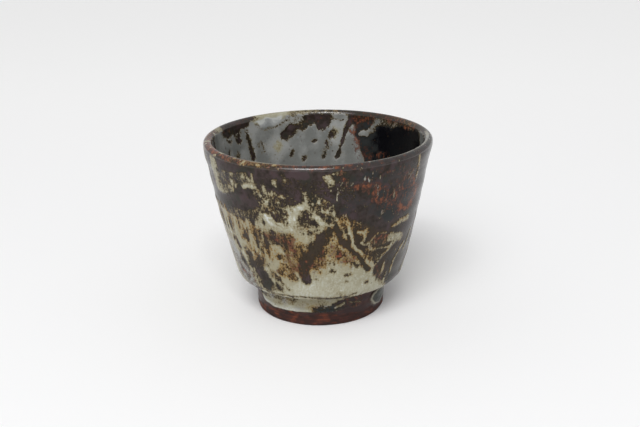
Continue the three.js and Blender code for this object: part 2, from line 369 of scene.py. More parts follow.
# Drips, strokes and bare places in the pale glaze outside, in the order in which they lie
OUTER_POURS = [
    # Olive shadow where the dark band starts to run
    (OLIVE, 6, [(-55, 69), (-45, 69.5), (-37, 71)]),
    (0.2, 9, [(-30, 67), (-22, 66), (-17, 60)]),
    (0.05, 7, [(-26, 70), (-10, 70), (4, 69), (14, 66)]),
    (0.2, 9, [(-4, 63), (3, 59)]),
    (0.2, 5, [(-52, 54), (-40, 54), (-30, 57)]),
    # Drips on the upper left
    (0.42, 10, [(-76, 74), (-80, 68), (-78, 64)]),
    (0.85, 6.5, [(-60.5, 74), (-62.5, 68), (-61, 64)]),
    (CREAM, 3.4, [(-61, 62.8), (-54, 63)]),
    (0.5, 3, [(-54, 63.5), (-49, 64.5)]),
    (0.8, 1.6, [(-47.5, 65), (-46.5, 68.3)]),
    (0.7, 1.2, [(-44.5, 66), (-43.8, 69)]),
    (THIN, 3, [(-38, 71.2), (-34, 71.2)]),
    (THICK, 2.4, [(-38, 67.4), (-32.5, 68.2)]),
    (0.7, 1.3, [(-32.5, 69), (-32, 73.2)]),
    (0.8, 1.4, [(-26.2, 69.3), (-26, 66.5), (-23, 66)]),
    (0.6, 1.3, [(-30.5, 65.8), (-26.5, 63.2), (-25, 63.6)]),
    (0.7, 1.7, [(-20.6, 72), (-20.4, 70.4)]),
    (0.6, 1.3, [(-16.2, 74.8), (-16, 72.8)]),
    (0.6, 1, [(-18.2, 56.5), (-18, 54.5)]),
    (BARE, 4.4, [(-74, 58), (-58, 57.5), (-48, 59.5), (-38, 61.5)]),
    # The peak in the middle and its two limbs
    (0.2, 11, [(-24, 56), (-16, 54), (-8, 57), (0, 55)]),
    (CREAM, 1.1, [(-6.9, 67.4), (-6, 63.8), (-5.7, 60.9)]),
    (1.2, 2, [(-5.7, 61), (-9.4, 61.2)]),
    (1.15, 3.2, [(-9.4, 60.6), (-12, 58.2), (-13.4, 55.6), (-13.4, 52.6), (-16, 50.6)]),
    (1.3, 3.2, [(-27.8, 55.2), (-26.4, 53.4), (-24, 52), (-20.5, 51.2), (-16.2, 50.4), (-13.6, 49.7)]),
    (CREAM, 2, [(-29, 51), (-24, 50.6), (-15, 49.4)]),
    (0.55, 1.3, [(-5.7, 60.9), (-3, 58.6), (-1.5, 56.4)]),
    (1.15, 2.6, [(-2, 56.4), (1.4, 53), (5, 52.2)]),
    (0.64, 6, [(-9, 51), (-4, 50.4), (2, 50.6)]),
    (0.2, 2.4, [(-6.9, 58), (-6.8, 55.8)]),
    (0.25, 2.4, [(-8.5, 54), (-6.4, 53)]),
    (BARE, 2.2, [(-2.4, 54.6), (-2.2, 53.8)]),
    (0.1, 1, [(-5.6, 49.4), (-5.4, 49)]),
    (0.1, 1, [(-1.4, 48.3), (-1.1, 47.9)]),
    (0.15, 3, [(-22, 55), (-18, 53.6)]),
    # Streaked area on the left
    (0.7, 9, [(-68, 48), (-56, 47), (-46, 46)]),
    (0.82, 7, [(-66, 38), (-54, 38), (-44, 41)]),
    (0.15, 2, [(-58, 40), (-53, 36.5)]),
    (0.2, 1.6, [(-49, 42), (-44, 43.6)]),
    (0.75, 2, [(-30.5, 55.6), (-32.3, 51.5), (-34, 47), (-33.5, 40), (-32, 33)]),
    (0.2, 3, [(-37, 48), (-37.4, 44), (-36.6, 39), (-36.6, 34)]),
    (0.0, 3.2, [(-31, 47.6), (-30, 42), (-29.5, 36.5)]),
    (0.28, 6, [(-24.5, 46), (-17, 46)]),
    (0.22, 3.4, [(-21, 44), (-18.5, 41)]),
    (0.3, 3.6, [(-23, 37), (-18.5, 36.6)]),
    (0.4, 4.4, [(-16, 41), (-15, 33)]),
    (0.4, 4, [(-20, 32), (-16, 27)]),
    (0.3, 2, [(-24, 30), (-21.5, 28)]),
    (CREAM, 2.2, [(-27, 39.5), (-26.6, 36)]),
    # The wide dark stroke
    (0.36, 5, [(-11.5, 42), (-12, 36), (-11, 31)]),
    (0.4, 4, [(1.5, 40.5), (-1, 35)]),
    (0.0, 4.4, [(6, 50), (2, 46)]),
    (-0.1, 6.5, [(2, 46), (-3, 41), (-7, 36)]),
    (0.05, 4.6, [(-7, 36), (-9.3, 29), (-8.4, 26.4)]),
    # The narrow dark stroke and the cream lines beside it
    (CREAM, 1.3, [(6.4, 52.6), (9.5, 46.8), (13, 42.8), (17.5, 40)]),
    (CREAM, 1.4, [(6.5, 58.4), (9, 55), (11.5, 50), (14, 46)]),
    (0.38, 4.4, [(12.5, 55), (15.3, 52), (20, 51.5)]),
    (0.25, 5, [(18, 51), (25, 48)]),
    (0.0, 4, [(17.5, 48), (21, 45), (24, 40.5)]),
    (-0.2, 2.4, [(8.6, 51), (12.4, 45), (16.4, 41.4), (20.4, 38), (25.4, 33), (30.4, 29)]),
    (THICK, 1, [(15, 50.6), (17, 46), (18.8, 42.6)]),
    (THICK, 1.3, [(18.8, 42.6), (21, 40), (25.6, 36), (29.6, 32), (33.4, 29)]),
    (CREAM, 1.1, [(20.5, 49), (24, 47.5), (24.5, 45), (23, 43.5), (25, 42), (27.5, 41.5)]),
    # Rust-specked cream between the two strokes
    (0.55, 6, [(6, 41), (11, 37)]),
    (0.42, 4.6, [(12.5, 38), (18, 36.6)]),
    (0.3, 1.6, [(9.5, 42), (10.5, 40.5)]),
    (0.15, 1.2, [(18.8, 33.8), (19.3, 33.2)]),
    (0.15, 1.3, [(21.3, 32.3), (21.9, 31.7)]),
    (0.2, 1.2, [(15.6, 28.7), (16.6, 28.4)]),
    (0.25, 1.3, [(18.2, 28.8), (19, 28.3)]),
    (0.2, 1.2, [(6.8, 31.2), (8, 30.8)]),
    (0.3, 0.9, [(-2.6, 27.5), (-1.4, 27.3)]),
    (0.25, 0.9, [(16.2, 25.2), (17, 24.9)]),
    (-0.1, 1.5, [(29.4, 22.8), (30.6, 22.6)]),
    (0.45, 1.6, [(12.4, 19.4), (13.4, 18.6)]),
    # Dark patches on the right, outlined in cream
    (0.2, 5, [(28.5, 37.5), (33, 35.5), (36, 34)]),
    (0.85, 2.4, [(31, 32), (33.4, 29.6)]),
    (0.2, 4.6, [(30.5, 42), (38, 41.8)]),
    (0.8, 0.8, [(27.5, 42.6), (32.8, 45.6), (38.5, 45)]),
    (0.8, 0.9, [(28, 40.6), (31.5, 39), (38, 38.4), (43, 38)]),
    (0.1, 1.4, [(26.2, 36.4), (26.8, 35.8)]),
    (CREAM, 4.4, [(42.5, 42.4), (48, 41.6), (52.5, 40.2)]),
    (0.82, 2.6, [(52, 40), (45, 38.4)]),
    (0.82, 1.8, [(45, 38.4), (40.5, 34.6), (36.5, 31.2), (33.6, 28.4)]),
    (CREAM, 1.5, [(43.5, 47.4), (49, 48.4)]),
    (CREAM, 2.5, [(49, 48.4), (57, 48)]),
    (-0.1, 8, [(54, 33), (44, 31), (40, 28)]),
    (0.1, 4, [(38, 26.8), (45, 21.5), (52, 19)]),
    (0.95, 1.2, [(59.2, 36), (51.5, 29.3), (49.5, 23.2)]),
    # Pale streak at the right edge: pale glaze, with painted reflection of the backdrop on it
    (0.95, 1.8, [(67, 40), (64.4, 36), (62.4, 32)]),
    (0.7, 1.3, [(45.4, 24.4), (43.6, 19)]),
    (0.75, 1.2, [(42, 30), (40, 25)]),
    # Dark patches on the lower left
    (0.62, 12, [(-66, 30), (-58, 24), (-50, 20.5)]),
    (0.1, 3.4, [(-48, 35.4), (-45.5, 34.2)]),
    (0.0, 4, [(-46, 30), (-40, 31.5), (-36, 33)]),
    (-0.05, 7.5, [(-38.5, 26.5), (-36, 21.5)]),
    (0.25, 3.6, [(-29, 27.5), (-26, 25.5)]),
    (0.12, 3, [(-28.4, 21.6), (-25.6, 20.8)]),
    (0.3, 2.6, [(-56, 33), (-50, 28)]),
    (0.35, 2, [(-60, 27), (-54, 21)]),
    (0.1, 0.9, [(-48, 17.4), (-26, 17.2), (-9, 17.1), (12, 17), (24, 17.7)]),
    (0.3, 1.4, [(-23.5, 23.6), (-22.5, 23)]),
    (0.3, 1.2, [(-20.4, 21.2), (-18.8, 21)]),
    (0.45, 3, [(-50, 26), (-46, 24.6)]),
    # Small patches on the dark right side
    (0.8, 2.6, [(3.6, 74.2), (5.7, 72)]),
    (0.4, 2.4, [(7, 75.6), (10.9, 75.4)]),
    (0.4, 1.6, [(12.5, 72.6), (12.5, 70.6), (10.6, 69.2)]),
    (0.4, 1.1, [(42.2, 60.2), (43.6, 63)]),
    (0.45, 1.2, [(29.6, 66.6), (30.6, 62.8)]),
    (0.35, 1, [(33.2, 65.4), (34.2, 61.7), (36.1, 58.2)]),
    (0.4, 1, [(25.9, 62.8), (26.6, 61.8)]),
    (0.42, 1.2, [(32.9, 52.4), (34.4, 54), (36, 56)]),
    (0.35, 1, [(40.8, 56), (42.3, 52.7)]),
    (0.62, 2.4, [(56.4, 75), (58.2, 70.6), (58, 65.6)]),
    (0.55, 1.3, [(53, 70.6), (49.7, 67.4)]),
    (0.42, 1.1, [(35.2, 60), (34.3, 55.6)]),
    (0.42, 1.1, [(38.8, 66.4), (40.2, 63)]),
    (0.4, 0.9, [(26, 74), (25.5, 71.4)]),
    # The back, which the photograph doesn't show
    (0.2, 8, [(-128, 63), (-112, 67), (-98, 65)]),
    (0.8, 3.2, [(-92, 75), (-93.5, 69), (-92.5, 64)]),
    (0.5, 4.4, [(-124, 61), (-116, 65), (-104, 66)]),
    (0.7, 1.4, [(-106, 66), (-106.6, 58.6)]),
    (0.85, 2.2, [(-120, 62.4), (-114, 63.4)]),
    (0.5, 1.2, [(-138, 70), (-137, 66.4)]),
    (0.15, 3, [(-150, 47), (-152, 38), (-149, 31)]),
    (0.05, 2, [(-143, 44), (-144.6, 36)]),
    (0.1, 4, [(-128, 27), (-121, 22)]),
    (0.3, 5, [(-120, 40), (-113, 37)]),
    (0.2, 2, [(-110, 28), (-106, 24)]),
    (0.1, 2.2, [(-106, 45), (-104, 36)]),
    (0.15, 1.8, [(-96, 43), (-94, 32)]),
    (0.2, 8, [(178, 60), (164, 64), (150, 60)]),
    (0.5, 4.6, [(172, 60), (163, 62), (152, 58)]),
    (0.85, 2, [(168, 60.6), (163, 61.4), (159, 60)]),
    (0.7, 1.3, [(154.6, 58), (154, 50)]),
    (0.5, 1.2, [(141, 66), (140, 62)]),
    (0.7, 3, [(137, 51), (132, 49)]),
    (0.05, 3.4, [(170, 44), (165, 37), (163, 29)]),
    (CREAM, 1.2, [(174.6, 43), (169, 34), (167, 27)]),
    (0.1, 2, [(156, 40), (154, 33)]),
    (0.25, 4, [(138, 36), (131, 32)]),
    (0.05, 2.6, [(119, 44), (120.4, 36), (119.4, 29)]),
    (0.1, 1.8, [(111, 40), (112, 33)]),
    (0.05, 4.6, [(88, 31), (93, 21)]),
    (0.45, 1.4, [(92, 49), (89, 44)]),
    (0.5, 1.2, [(100, 60), (97, 56.4)]),
    (0.5, 1.1, [(84, 64), (82, 59.6)]),
    (0.6, 1, [(75, 46), (72, 38), (71, 33)]),
    (0.5, 1.2, [(81, 39), (77, 30)]),
    (0.45, 2, [(72, 26), (68, 20)]),
]

# Places where specks of pale glaze float in the dark
OUTER_SPECKS = [
    (1, 9, [(-27, 63), (-20, 58), (-16, 62)]),
    (1, 7, [(-24, 57), (-18, 54)]),
    (1, 7, [(-2, 63), (3, 58)]),
    (0.6, 6, [(-50, 69), (-40, 71)]),
    (0.7, 8, [(18, 50), (28, 44)]),
    (0.8, 10, [(-122, 62), (-108, 58)]),
    (0.8, 10, [(170, 60), (150, 60)]),
    (0.6, 8, [(112, 60), (98, 62)]),
]

# Places where the pale glaze was dragged down in streaks
OUTER_STREAKED = [
    (1, 18, [(-74, 47), (-56, 46), (-44, 43)]),
    (0.7, 12, [(-36, 44), (-30, 38)]),
    (0.8, 16, [(-104, 44), (-88, 40)]),
    (0.8, 16, [(140, 44), (160, 40)]),
]

# Rust-red breaks in the iron glaze outside
OUTER_RUST = [
    (0.5, 9, [(28, 66), (36, 60)]),
    (0.52, 12, [(46, 66), (58, 60)]),
    (0.88, 3.4, [(17.6, 68.8), (22.6, 68.4)]),
    (0.6, 2, [(27.5, 68), (29.7, 68.4), (34.5, 67.6)]),
    (0.7, 2.4, [(26.2, 67), (27.2, 62.2), (31.9, 60)]),
    (0.55, 2, [(33.9, 65.5), (35.7, 61.5)]),
    (0.5, 5, [(40, 57), (44, 54)]),
    (0.55, 3, [(41, 60), (42.6, 57), (46, 55)]),
    (0.9, 3.6, [(46, 55), (52, 53.6), (58, 55), (60, 57)]),
    (0.8, 3, [(60, 57), (59, 61), (56, 65)]),
    (0.5, 2.2, [(52, 69), (45.7, 67.6)]),
    (0.6, 2, [(45, 64), (43, 60)]),
    (0.45, 3, [(24, 72), (27, 70.6)]),
    (0.35, 6, [(30, 74), (44, 72)]),
    (0.5, 4, [(9.5, 74.5), (12, 70)]),
    (0.36, 6, [(-25, 46), (-17, 45)]),
    (0.6, 4.6, [(31, 42), (39, 42.8)]),
    (0.45, 4, [(35, 28), (40, 23)]),
    (0.25, 7, [(6, 40), (17, 36)]),
    (0.3, 5, [(2, 38), (-6, 30)]),
    (0.3, 7, [(-16, 40), (-14, 30)]),
    (0.3, 9, [(-62, 26), (-50, 20)]),
    (0.6, 4, [(-142, 66), (-130, 70)]),
    (0.4, 6, [(-172, 68), (-158, 64)]),
    (0.5, 4, [(-112, 74), (-104, 71)]),
    (0.4, 7, [(146, 72), (162, 69)]),
    (0.6, 5, [(112, 62), (124, 68)]),
    (0.5, 4, [(84, 66), (92, 58)]),
    (0.35, 7, [(68, 48), (80, 40)]),
]

# Places where the pale glaze is peppered with rust
OUTER_PEPPER = [
    (1, 8, [(6, 42), (13, 38), (20, 34)]),
    (0.6, 9, [(-13, 44), (-10, 34)]),
    (0.6, 8, [(-28, 36), (-20, 28)]),
    (0.7, 9, [(-60, 27), (-48, 22)]),
    (0.8, 12, [(-120, 40), (-104, 34)]),
    (0.8, 12, [(150, 34), (136, 40)]),
]

# Ochre where the pale glaze is thin and stained
OUTER_OCHRE = [
    (0.35, 18, [(16, 44), (34, 38), (46, 31), (56, 33)]),
    (1.3, 3, [(56, 74), (58.3, 69), (58.2, 65)]),
    (1.1, 2.4, [(52, 70), (46, 67)]),
    (1.1, 4.4, [(13, 54.5), (17, 51), (24, 48)]),
    (0.8, 8, [(-14, 44), (-12, 34)]),
    (0.45, 8, [(6, 40), (14, 36)]),
    (0.4, 8, [(-62, 52), (-50, 48), (-38, 46)]),
    (0.9, 3, [(43, 47.5), (55, 48.6)]),
    (0.7, 7, [(0, 40), (-2, 32)]),
    (0.8, 8, [(-28, 38), (-20, 28)]),
    (0.6, 6, [(-46, 42), (-40, 34)]),
    (0.7, 7, [(140, 50), (125, 44)]),
    (0.7, 7, [(-128, 48), (-110, 46)]),
]

# Blue-grey cast in the glaze outside
OUTER_SLATE = [
    (0.32, 24, [(20, 66), (50, 64)]),
    (0.75, 3, [(30.2, 66), (31.4, 62.4)]),
    (0.7, 3, [(35, 64), (36.6, 58)]),
    (0.7, 6, [(36, 57), (41, 53)]),
    (0.95, 3.4, [(47.6, 64.4), (50.6, 59.4)]),
    (0.6, 4, [(22, 73), (26, 72)]),
    (0.25, 8, [(46, 33), (52, 30)]),
    (0.5, 10, [(-64, 34), (-58, 26), (-52, 20)]),
    (0.3, 14, [(84, 60), (110, 66)]),
    (0.3, 14, [(-150, 68), (-128, 68)]),
]

# Bare iron glaze and marks in the pale glaze inside, as (angle, height)
INNER_POURS = [
    (BARE, 26, [(140, 70), (128, 50), (118, 30)]),
    (BARE, 30, [(116, 66), (95, 50), (80, 40)]),
    (BARE, 20, [(60, 66), (58, 40)]),
    (0.45, 4, [(144, 75), (133, 75)]),
    (0.25, 3, [(133, 75), (110, 75.4)]),
    (0.34, 5, [(140, 74.5), (131, 73.4)]),
    (CREAM, 3, [(142, 74), (144.4, 70), (148, 67.6), (152, 67.6)]),
    (OLIVE, 6, [(147, 75), (157, 73)]),
    (BARE, 1.6, [(159, 75), (162.6, 68.2), (165, 62.3)]),
    (BARE, 1, [(165, 62.3), (166.8, 57)]),
    (BARE, 2.4, [(166.6, 57), (167, 54.5)]),
    (0.1, 0.8, [(164, 73.3), (169, 73.3)]),
    (BARE, 6, [(175, 75), (177.5, 70)]),
    (BARE, 6.4, [(183, 74.6), (188, 72.4)]),
    (0.0, 5, [(188, 70.6), (196, 69.4)]),
    (BARE, 4.6, [(197.5, 69), (201.6, 66.4)]),
    (0.12, 3.2, [(170.5, 66.5), (174, 61), (177, 55)]),
    (0.05, 2.4, [(182, 62.8), (183.2, 62.4)]),
    (0.1, 2, [(196.8, 58.5), (198.5, 56.5)]),
    (0.15, 2.4, [(189.2, 54.8), (190, 53.5)]),
    (1.7, 7, [(203, 76), (216, 75)]),
    (0.7, 4.5, [(191, 74.5), (199, 74.5)]),
    (0.45, 1.4, [(198, 74), (205, 71.6), (214, 70.3), (219.6, 73.4)]),
    (0.3, 1.3, [(217.3, 65), (216, 59)]),
    (0.4, 1, [(219.5, 65), (219, 59)]),
    (0.05, 3, [(227.4, 70), (226.5, 66), (225.2, 58.4)]),
    (BARE, 5.4, [(228, 76), (238, 74.6), (246, 74.4)]),
    (-0.05, 4, [(237.3, 73), (236.4, 68)]),
    (0.1, 4, [(243, 73), (244, 70)]),
    (0.1, 2.4, [(238.5, 62.5), (239.5, 60.5)]),
    (0.2, 2, [(246.5, 65.5), (247.5, 63)]),
    # The front and the floor, which the photograph doesn't show
    (BARE, 4, [(268, 76), (266, 60)]),
    (0.1, 3, [(285, 74), (282, 62)]),
    (BARE, 5, [(310, 76), (318, 64), (316, 50)]),
    (0.25, 2, [(340, 70), (335, 52)]),
    (BARE, 3.5, [(368, 76), (362, 66)]),
    (0.1, 2.6, [(205, 45), (200, 38)]),
    (0.15, 3, [(250, 42), (255, 34)]),
    (0.12, 2.4, [(330, 40), (325, 32)]),
]

# Places where specks of pale glaze float in the drips inside
INNER_SPECKS = [
    (1, 3, [(172, 68), (178, 66.4)]),
    (1, 3.4, [(184, 68.4), (197, 65.6)]),
    (0.5, 4, [(170.5, 66), (174, 61), (177, 55)]),
    (0.7, 4, [(228, 70), (246, 69)]),
    (0.8, 4, [(310, 70), (318, 60)]),
]

# Rust-red breaks in the iron glaze inside
INNER_RUST = [
    (0.5, 6, [(146, 74.5), (157.5, 73.6)]),
    (0.75, 2.4, [(150, 74), (155, 73.6)]),
    (0.7, 3.4, [(157, 69), (154.5, 63), (153, 58)]),
    (0.42, 8, [(150, 57), (134, 58)]),
    (0.7, 3.4, [(108, 76), (122, 75.6), (134, 76)]),
    (0.3, 5, [(176, 75), (188, 74)]),
    (0.3, 5, [(228, 76), (250, 75.5)]),
    (0.5, 6, [(48, 62), (46, 40)]),
]

# Ochre where the pale glaze inside is thin and stained
INNER_OCHRE = [
    (1.1, 4, [(104, 75), (120, 74.8), (136, 75)]),
    (0.5, 4, [(142, 73), (150, 68)]),
    (0.9, 4, [(156, 57), (161, 54)]),
    (0.6, 3, [(173, 66), (176, 58)]),
]

# Where the bare iron glaze inside pooled blue-black
INNER_POOLED = [
    (0.85, 26, [(141, 62), (126, 58)]),
    (1.4, 20, [(124, 67), (104, 64), (80, 56)]),
    (1.4, 12, [(130, 71), (104, 71)]),
]

# Grey-white patches in the pale glaze inside
INNER_WHITE = [
    (1, 7, [(203, 76), (216, 75)]),
    (0.5, 8, [(160, 70), (168, 66)]),
    (0.4, 8, [(200, 60), (186, 57)]),
]

# What the fire left round the crest of the lip: rust, ochre and depth of pale glaze by angle
LIP_RUST = [
    (-180, 0.1), (-145, 0.1), (-138, 0.3), (-114, 0.3), (-108, 0.15), (-98, 0.7), (-60, 0.8),
    (-46, 0.6), (-30, 0.45), (-12, 0.55), (15, 0.55), (26, 0.3), (85, 0.2), (100, 0.3), (108, 0.5),
    (140, 0.5), (152, 0.4), (165, 0.2), (180, 0.1),
]
LIP_OCHRE = [
    (-180, 0), (-62, 0), (-50, 1), (-34, 1.1), (-22, 0.5), (-10, 0), (96, 0), (106, 0.9), (128, 0.8),
    (146, 0.2), (160, 0), (180, 0),
]
LIP_PALE = [
    (-180, 0.4), (-165, 0.6), (-158, 1.1), (-142, 0.95), (-138, -0.2), (-114, -0.2), (-108, 0.8),
    (-98, 0.2), (-80, 0.1), (-62, 0.0), (-46, 0.3), (-34, 0.4), (-20, 0.15), (-10, -0.3), (80, -0.3),
    (86, 0.35), (94, 0.1), (100, -0.1), (108, 0.25), (128, 0.25), (146, 0), (162, 0.1), (172, 0.35),
    (180, 0.4),
]

# Painted shade: a blue-grey cast that darkens the lip on its right side, by angle
LIP_PAINTED_SHADE = [(-180, 0), (-20, 0), (10, 0.3), (30, 0.4), (90, 0.4), (104, 0), (180, 0)]
# A thin pale line along the crest, by angle: cream at the front left, painted reflection on the right
LIP_CREAM_AND_REFLECTION_LINE = [
    (-180, 0), (-40, 0), (-32, 0.6), (-14, 0.5), (-6, 0), (14, 0), (24, 0.8), (80, 0.9), (96, 0.3),
    (100, 0), (180, 0),
]

# Share of pale specks along the lip, by angle
LIP_SPECKS = [(-180, 0), (-110, 0), (-98, 1), (-60, 1), (-36, 0.7), (-10, 0.3), (4, 0), (180, 0)]

# Lower edge of the pale glaze that ran over the foot ring, as (angle, height)
FOOT_RUN_EDGE = [
    (-100, 15), (-76, 14), (-67, 11), (-63, 9.4), (-59, 7.6), (-54, 6.1), (-44, 5.9), (-33, 6.3), (-22, 6.2),
    (-10, 6.3), (-4, 6.6), (6, 6.3), (14, 6.9), (22, 7.2), (30, 7.2), (36, 7.4), (39, 10), (42, 13),
]

# Lower edge of the thin dark film that the glaze left round the foot ring, as (angle, height)
FOOT_FILM_EDGE = [
    (-180, 10), (-120, 9), (-96, 5), (-74, 3.6), (-58, 5), (-44, 5), (-8, 5.4), (12, 5.4), (24, 4.6),
    (44, 4.4), (60, 3), (84, 4), (110, 9), (180, 10),
]

# Marks in the run on the foot ring: olive under the heel, a pale rolled edge, a dark pool and wisps
FOOT_RUN_MARKS = [
    (0.45, 3.4, [(-66, 12.4), (-40, 11.8), (-22, 11.8)]),
    (0.1, 1, [(-70, 10.6), (-54, 10)]),
    (1.35, 1.7, [(-60, 8.4), (-50, 7), (-40, 6.8), (-24, 7.2), (-12, 7.4)]),
    (0.8, 3.4, [(-18, 10.4), (-5, 10.6)]),
    (0.05, 3.4, [(-4, 8), (6, 7.8), (14, 9)]),
    (0.75, 1, [(-4, 11.4), (8, 11.6), (18, 12.8)]),
    (BARE, 4, [(14, 9.4), (24, 10.2), (36, 12)]),
    (BARE, 3.6, [(20, 8.4), (38, 8.6)]),
    (0.75, 0.8, [(12, 12.4), (24, 13.2)]),
    (0.85, 1.2, [(12.9, 8.6), (15, 9.3), (17, 9.2), (20, 10)]),
    (0.6, 1, [(24.5, 9.9), (29, 9.4), (32, 9.5), (37, 8.7)]),
]


def at_angle(skin, listed):
    """The value at each point's angle, between listed pairs of angle and value"""
    angles, values = zip(*listed)
    return np.interp(wrapped(skin.angle), angles, values)


def outer_pale(skin, flow):
    """Depth of pale glaze over the outside, and the share of the broken middle of the wall"""
    runs = streaks(skin, width=1.3, seed=21)
    edge = at_angle(flow, OUTER_POUR_EDGE) + 2.5 * runs
    covered = smooth_step(4, -3.5, skin.height - edge)
    low = smooth_step(LOW_POUR_START, LOW_POUR_FULL, skin.height)
    middle = (1 - low) * smooth_step(BROKEN_END, BROKEN_FULL, skin.height) * covered
    cloudy = 0.14 * lumps(skin.place, size=6, seed=23)
    pale = BARE + (0.98 + (0.12 + cloudy) * low - BARE) * covered
    paint(pale, flow, OUTER_POURS, uneven_softness(skin, seed=19))
    pale += (0.2 + 0.5 * painted(flow, OUTER_STREAKED, softness=4)) * runs * middle
    patchy = smooth_step(-0.2, 0.4, lumps(skin.place, size=8, seed=25))
    holes = smooth_step(0.1, 0.6, lumps(skin.place, size=2, seed=26))
    pale -= 0.5 * holes * patchy * middle
    specks = smooth_step(0.2, 0.6, lumps(skin.place, size=1.2, seed=27))
    pale += 0.75 * specks * painted(flow, OUTER_SPECKS, softness=3)
    # The heel edge is painted darker: thinner glaze, and painted shade in the crease above the foot ring
    ragged = skin.height + 0.6 * lumps(skin.place, size=5, seed=28)
    pale -= 0.75 * smooth_step(HEEL_BARE_AND_SHADE_START, HEEL_BARE_AND_SHADE_FULL, ragged)
    return pale, middle


def outer_fields(skin):
    """Pale, rust, ochre and slate over the outside of the bowl"""
    flow = stirred(skin, reach=0.6, seed=11)
    loose = stirred(skin, reach=1.1, seed=31)
    pale, middle = outer_pale(skin, flow)
    grains = smooth_step(0.15, 0.55, lumps(skin.place, size=1.4, seed=29))
    pepper = grains * painted(flow, OUTER_PEPPER, softness=3)
    return SimpleNamespace(
        pale=pale,
        rust=painted(loose, OUTER_RUST, softness=2) + 0.6 * pepper + 0.1 * middle,
        ochre=painted(loose, OUTER_OCHRE, softness=2.2) + 0.25 * middle,
        slate=painted(loose, OUTER_SLATE, softness=3),
    )


def inner_pale(skin, flow):
    """Depth of pale glaze over the inside, with a broken pool on the floor"""
    pale = 0.95 + 0.2 * lumps(skin.place, size=7, seed=53)
    paint(pale, flow, INNER_POURS, uneven_softness(skin, seed=49))
    pale += 0.12 * streaks(skin, width=1.6, seed=51)
    specks = smooth_step(0.15, 0.5, lumps(skin.place, size=1.1, seed=59))
    pale += 0.9 * specks * painted(flow, INNER_SPECKS, softness=1.5)
    pool = smooth_step(floor_height + POOL_START, floor_height + POOL_FULL, skin.place[:, 2])
    holes = smooth_step(0.3, 0.7, lumps(skin.place, size=2.2, seed=58))
    pale += pool * (0.3 * lumps(skin.place, size=9, seed=57) - 0.5 * holes)
    return pale


def inner_fields(skin):
    """Pale, rust, ochre and slate over the inside of the bowl"""
    loose = stirred(skin, reach=1.2, seed=61)
    pale = inner_pale(skin, stirred(skin, reach=0.8, seed=41))
    grey = 0.88 + 0.42 * lumps(skin.place, size=9, seed=55) + 0.36 * streaks(skin, width=4, seed=56)
    grey -= 0.7 * painted(loose, INNER_WHITE, softness=3)
    pooled = painted(loose, INNER_POOLED, softness=8)
    return SimpleNamespace(
        pale=pale,
        rust=painted(loose, INNER_RUST, softness=1.8),
        ochre=painted(loose, INNER_OCHRE, softness=1.6) - 0.7,
        slate=grey * smooth_step(0.1, 0.6, pale) + pooled * smooth_step(0.4, 0, pale),
    )


def lip_fields(skin, run):
    """The fields of the outside, which pass into those of the inside over the lip"""
    outer = outer_fields(skin)
    inner = inner_fields(skin)
    share = smooth_step(lip_run[0], lip_run[-1], run)
    fields = SimpleNamespace()
    for name in FIELDS:
        setattr(fields, name, getattr(outer, name) * (1 - share) + getattr(inner, name) * share)
    return fields


def fire_lip(skin, run, fields):
    """Changes the fields near the crest of the lip, where glaze draws back in the fire; it also paints shade
    on the right of the lip and a pale line along the crest that is partly painted reflection
    """
    share = smooth_step(4, 1.6, np.abs(run) + 0.8 * lumps(skin.place, size=2.4, seed=111))
    flow = stirred(skin, reach=2, seed=113)
    # Over the lip the slate field takes painted shade, which darkens its right side
    fired = {"rust": LIP_RUST, "ochre": LIP_OCHRE, "pale": LIP_PALE, "slate": LIP_PAINTED_SHADE}
    for name, listed in fired.items():
        field = getattr(fields, name)
        field += (at_angle(flow, listed) - field) * share
    # A thin pale line along the crest: cream at the front left, painted reflection on the right
    fields.pale += smooth_step(1, 0.3, np.abs(run - 0.4)) * at_angle(flow, LIP_CREAM_AND_REFLECTION_LINE)
    specks = smooth_step(0.25, 0.6, lumps(skin.place, size=1.4, seed=115))
    specks = specks * at_angle(flow, LIP_SPECKS) * share
    fields.pale += (1.0 - fields.pale) * specks
    fields.rust -= 0.7 * specks


# The hand-thrown shape

def polar(place):
    return SimpleNamespace(
        angle=np.degrees(np.arctan2(place[:, 0], -place[:, 1])),
        radius=np.hypot(place[:, 0], place[:, 1]),
        height=place[:, 2],
        place=place,
    )


def radial(angle):
    """Unit vectors straight out from the axis"""
    turn = np.radians(angle)
    return np.column_stack([np.sin(turn), -np.cos(turn), np.zeros(len(turn))])


def wave(turns):
    return np.sin(2 * math.pi * turns)


def wall_stray(spot):
    """How far the wall strays outwards: a little oval, rippled by fingers and dented"""
    above_foot = smooth_step(FOOT_HEIGHT, FOOT_HEIGHT + 8, spot.height)
    on_wall = above_foot * smooth_step(12, 30, spot.radius)
    below_lip = smooth_step(BOWL_HEIGHT, BOWL_HEIGHT - 8, spot.height)
    narrowed = np.cos(np.radians(2 * spot.angle - OVAL_TURN)) - 1
    oval = OUT_OF_ROUND * narrowed * spot.height / BOWL_HEIGHT
    strength = 0.7 + 0.5 * lumps(spot.place, size=18, seed=71)
    ripple = RIPPLE * wave(spot.height / RIPPLE_PITCH + spot.angle / FULL_TURN) * strength * below_lip
    dents = DENTS * np.minimum(lumps(spot.place, DENT_SIZE, seed=73) - DENTS_BELOW, 0) * below_lip
    return on_wall * (oval + ripple + dents)


def lip_sink(spot):
    """How far the lip waves up and down, never above its true height"""
    twofold = np.sin(np.radians(2 * spot.angle + 40))
    threefold = np.sin(np.radians(3 * spot.angle - 80))
    uneven = twofold + 0.6 * threefold
    return LIP_WAVE * (uneven / 1.6 - 1) * smooth_step(50, BOWL_HEIGHT, spot.height)


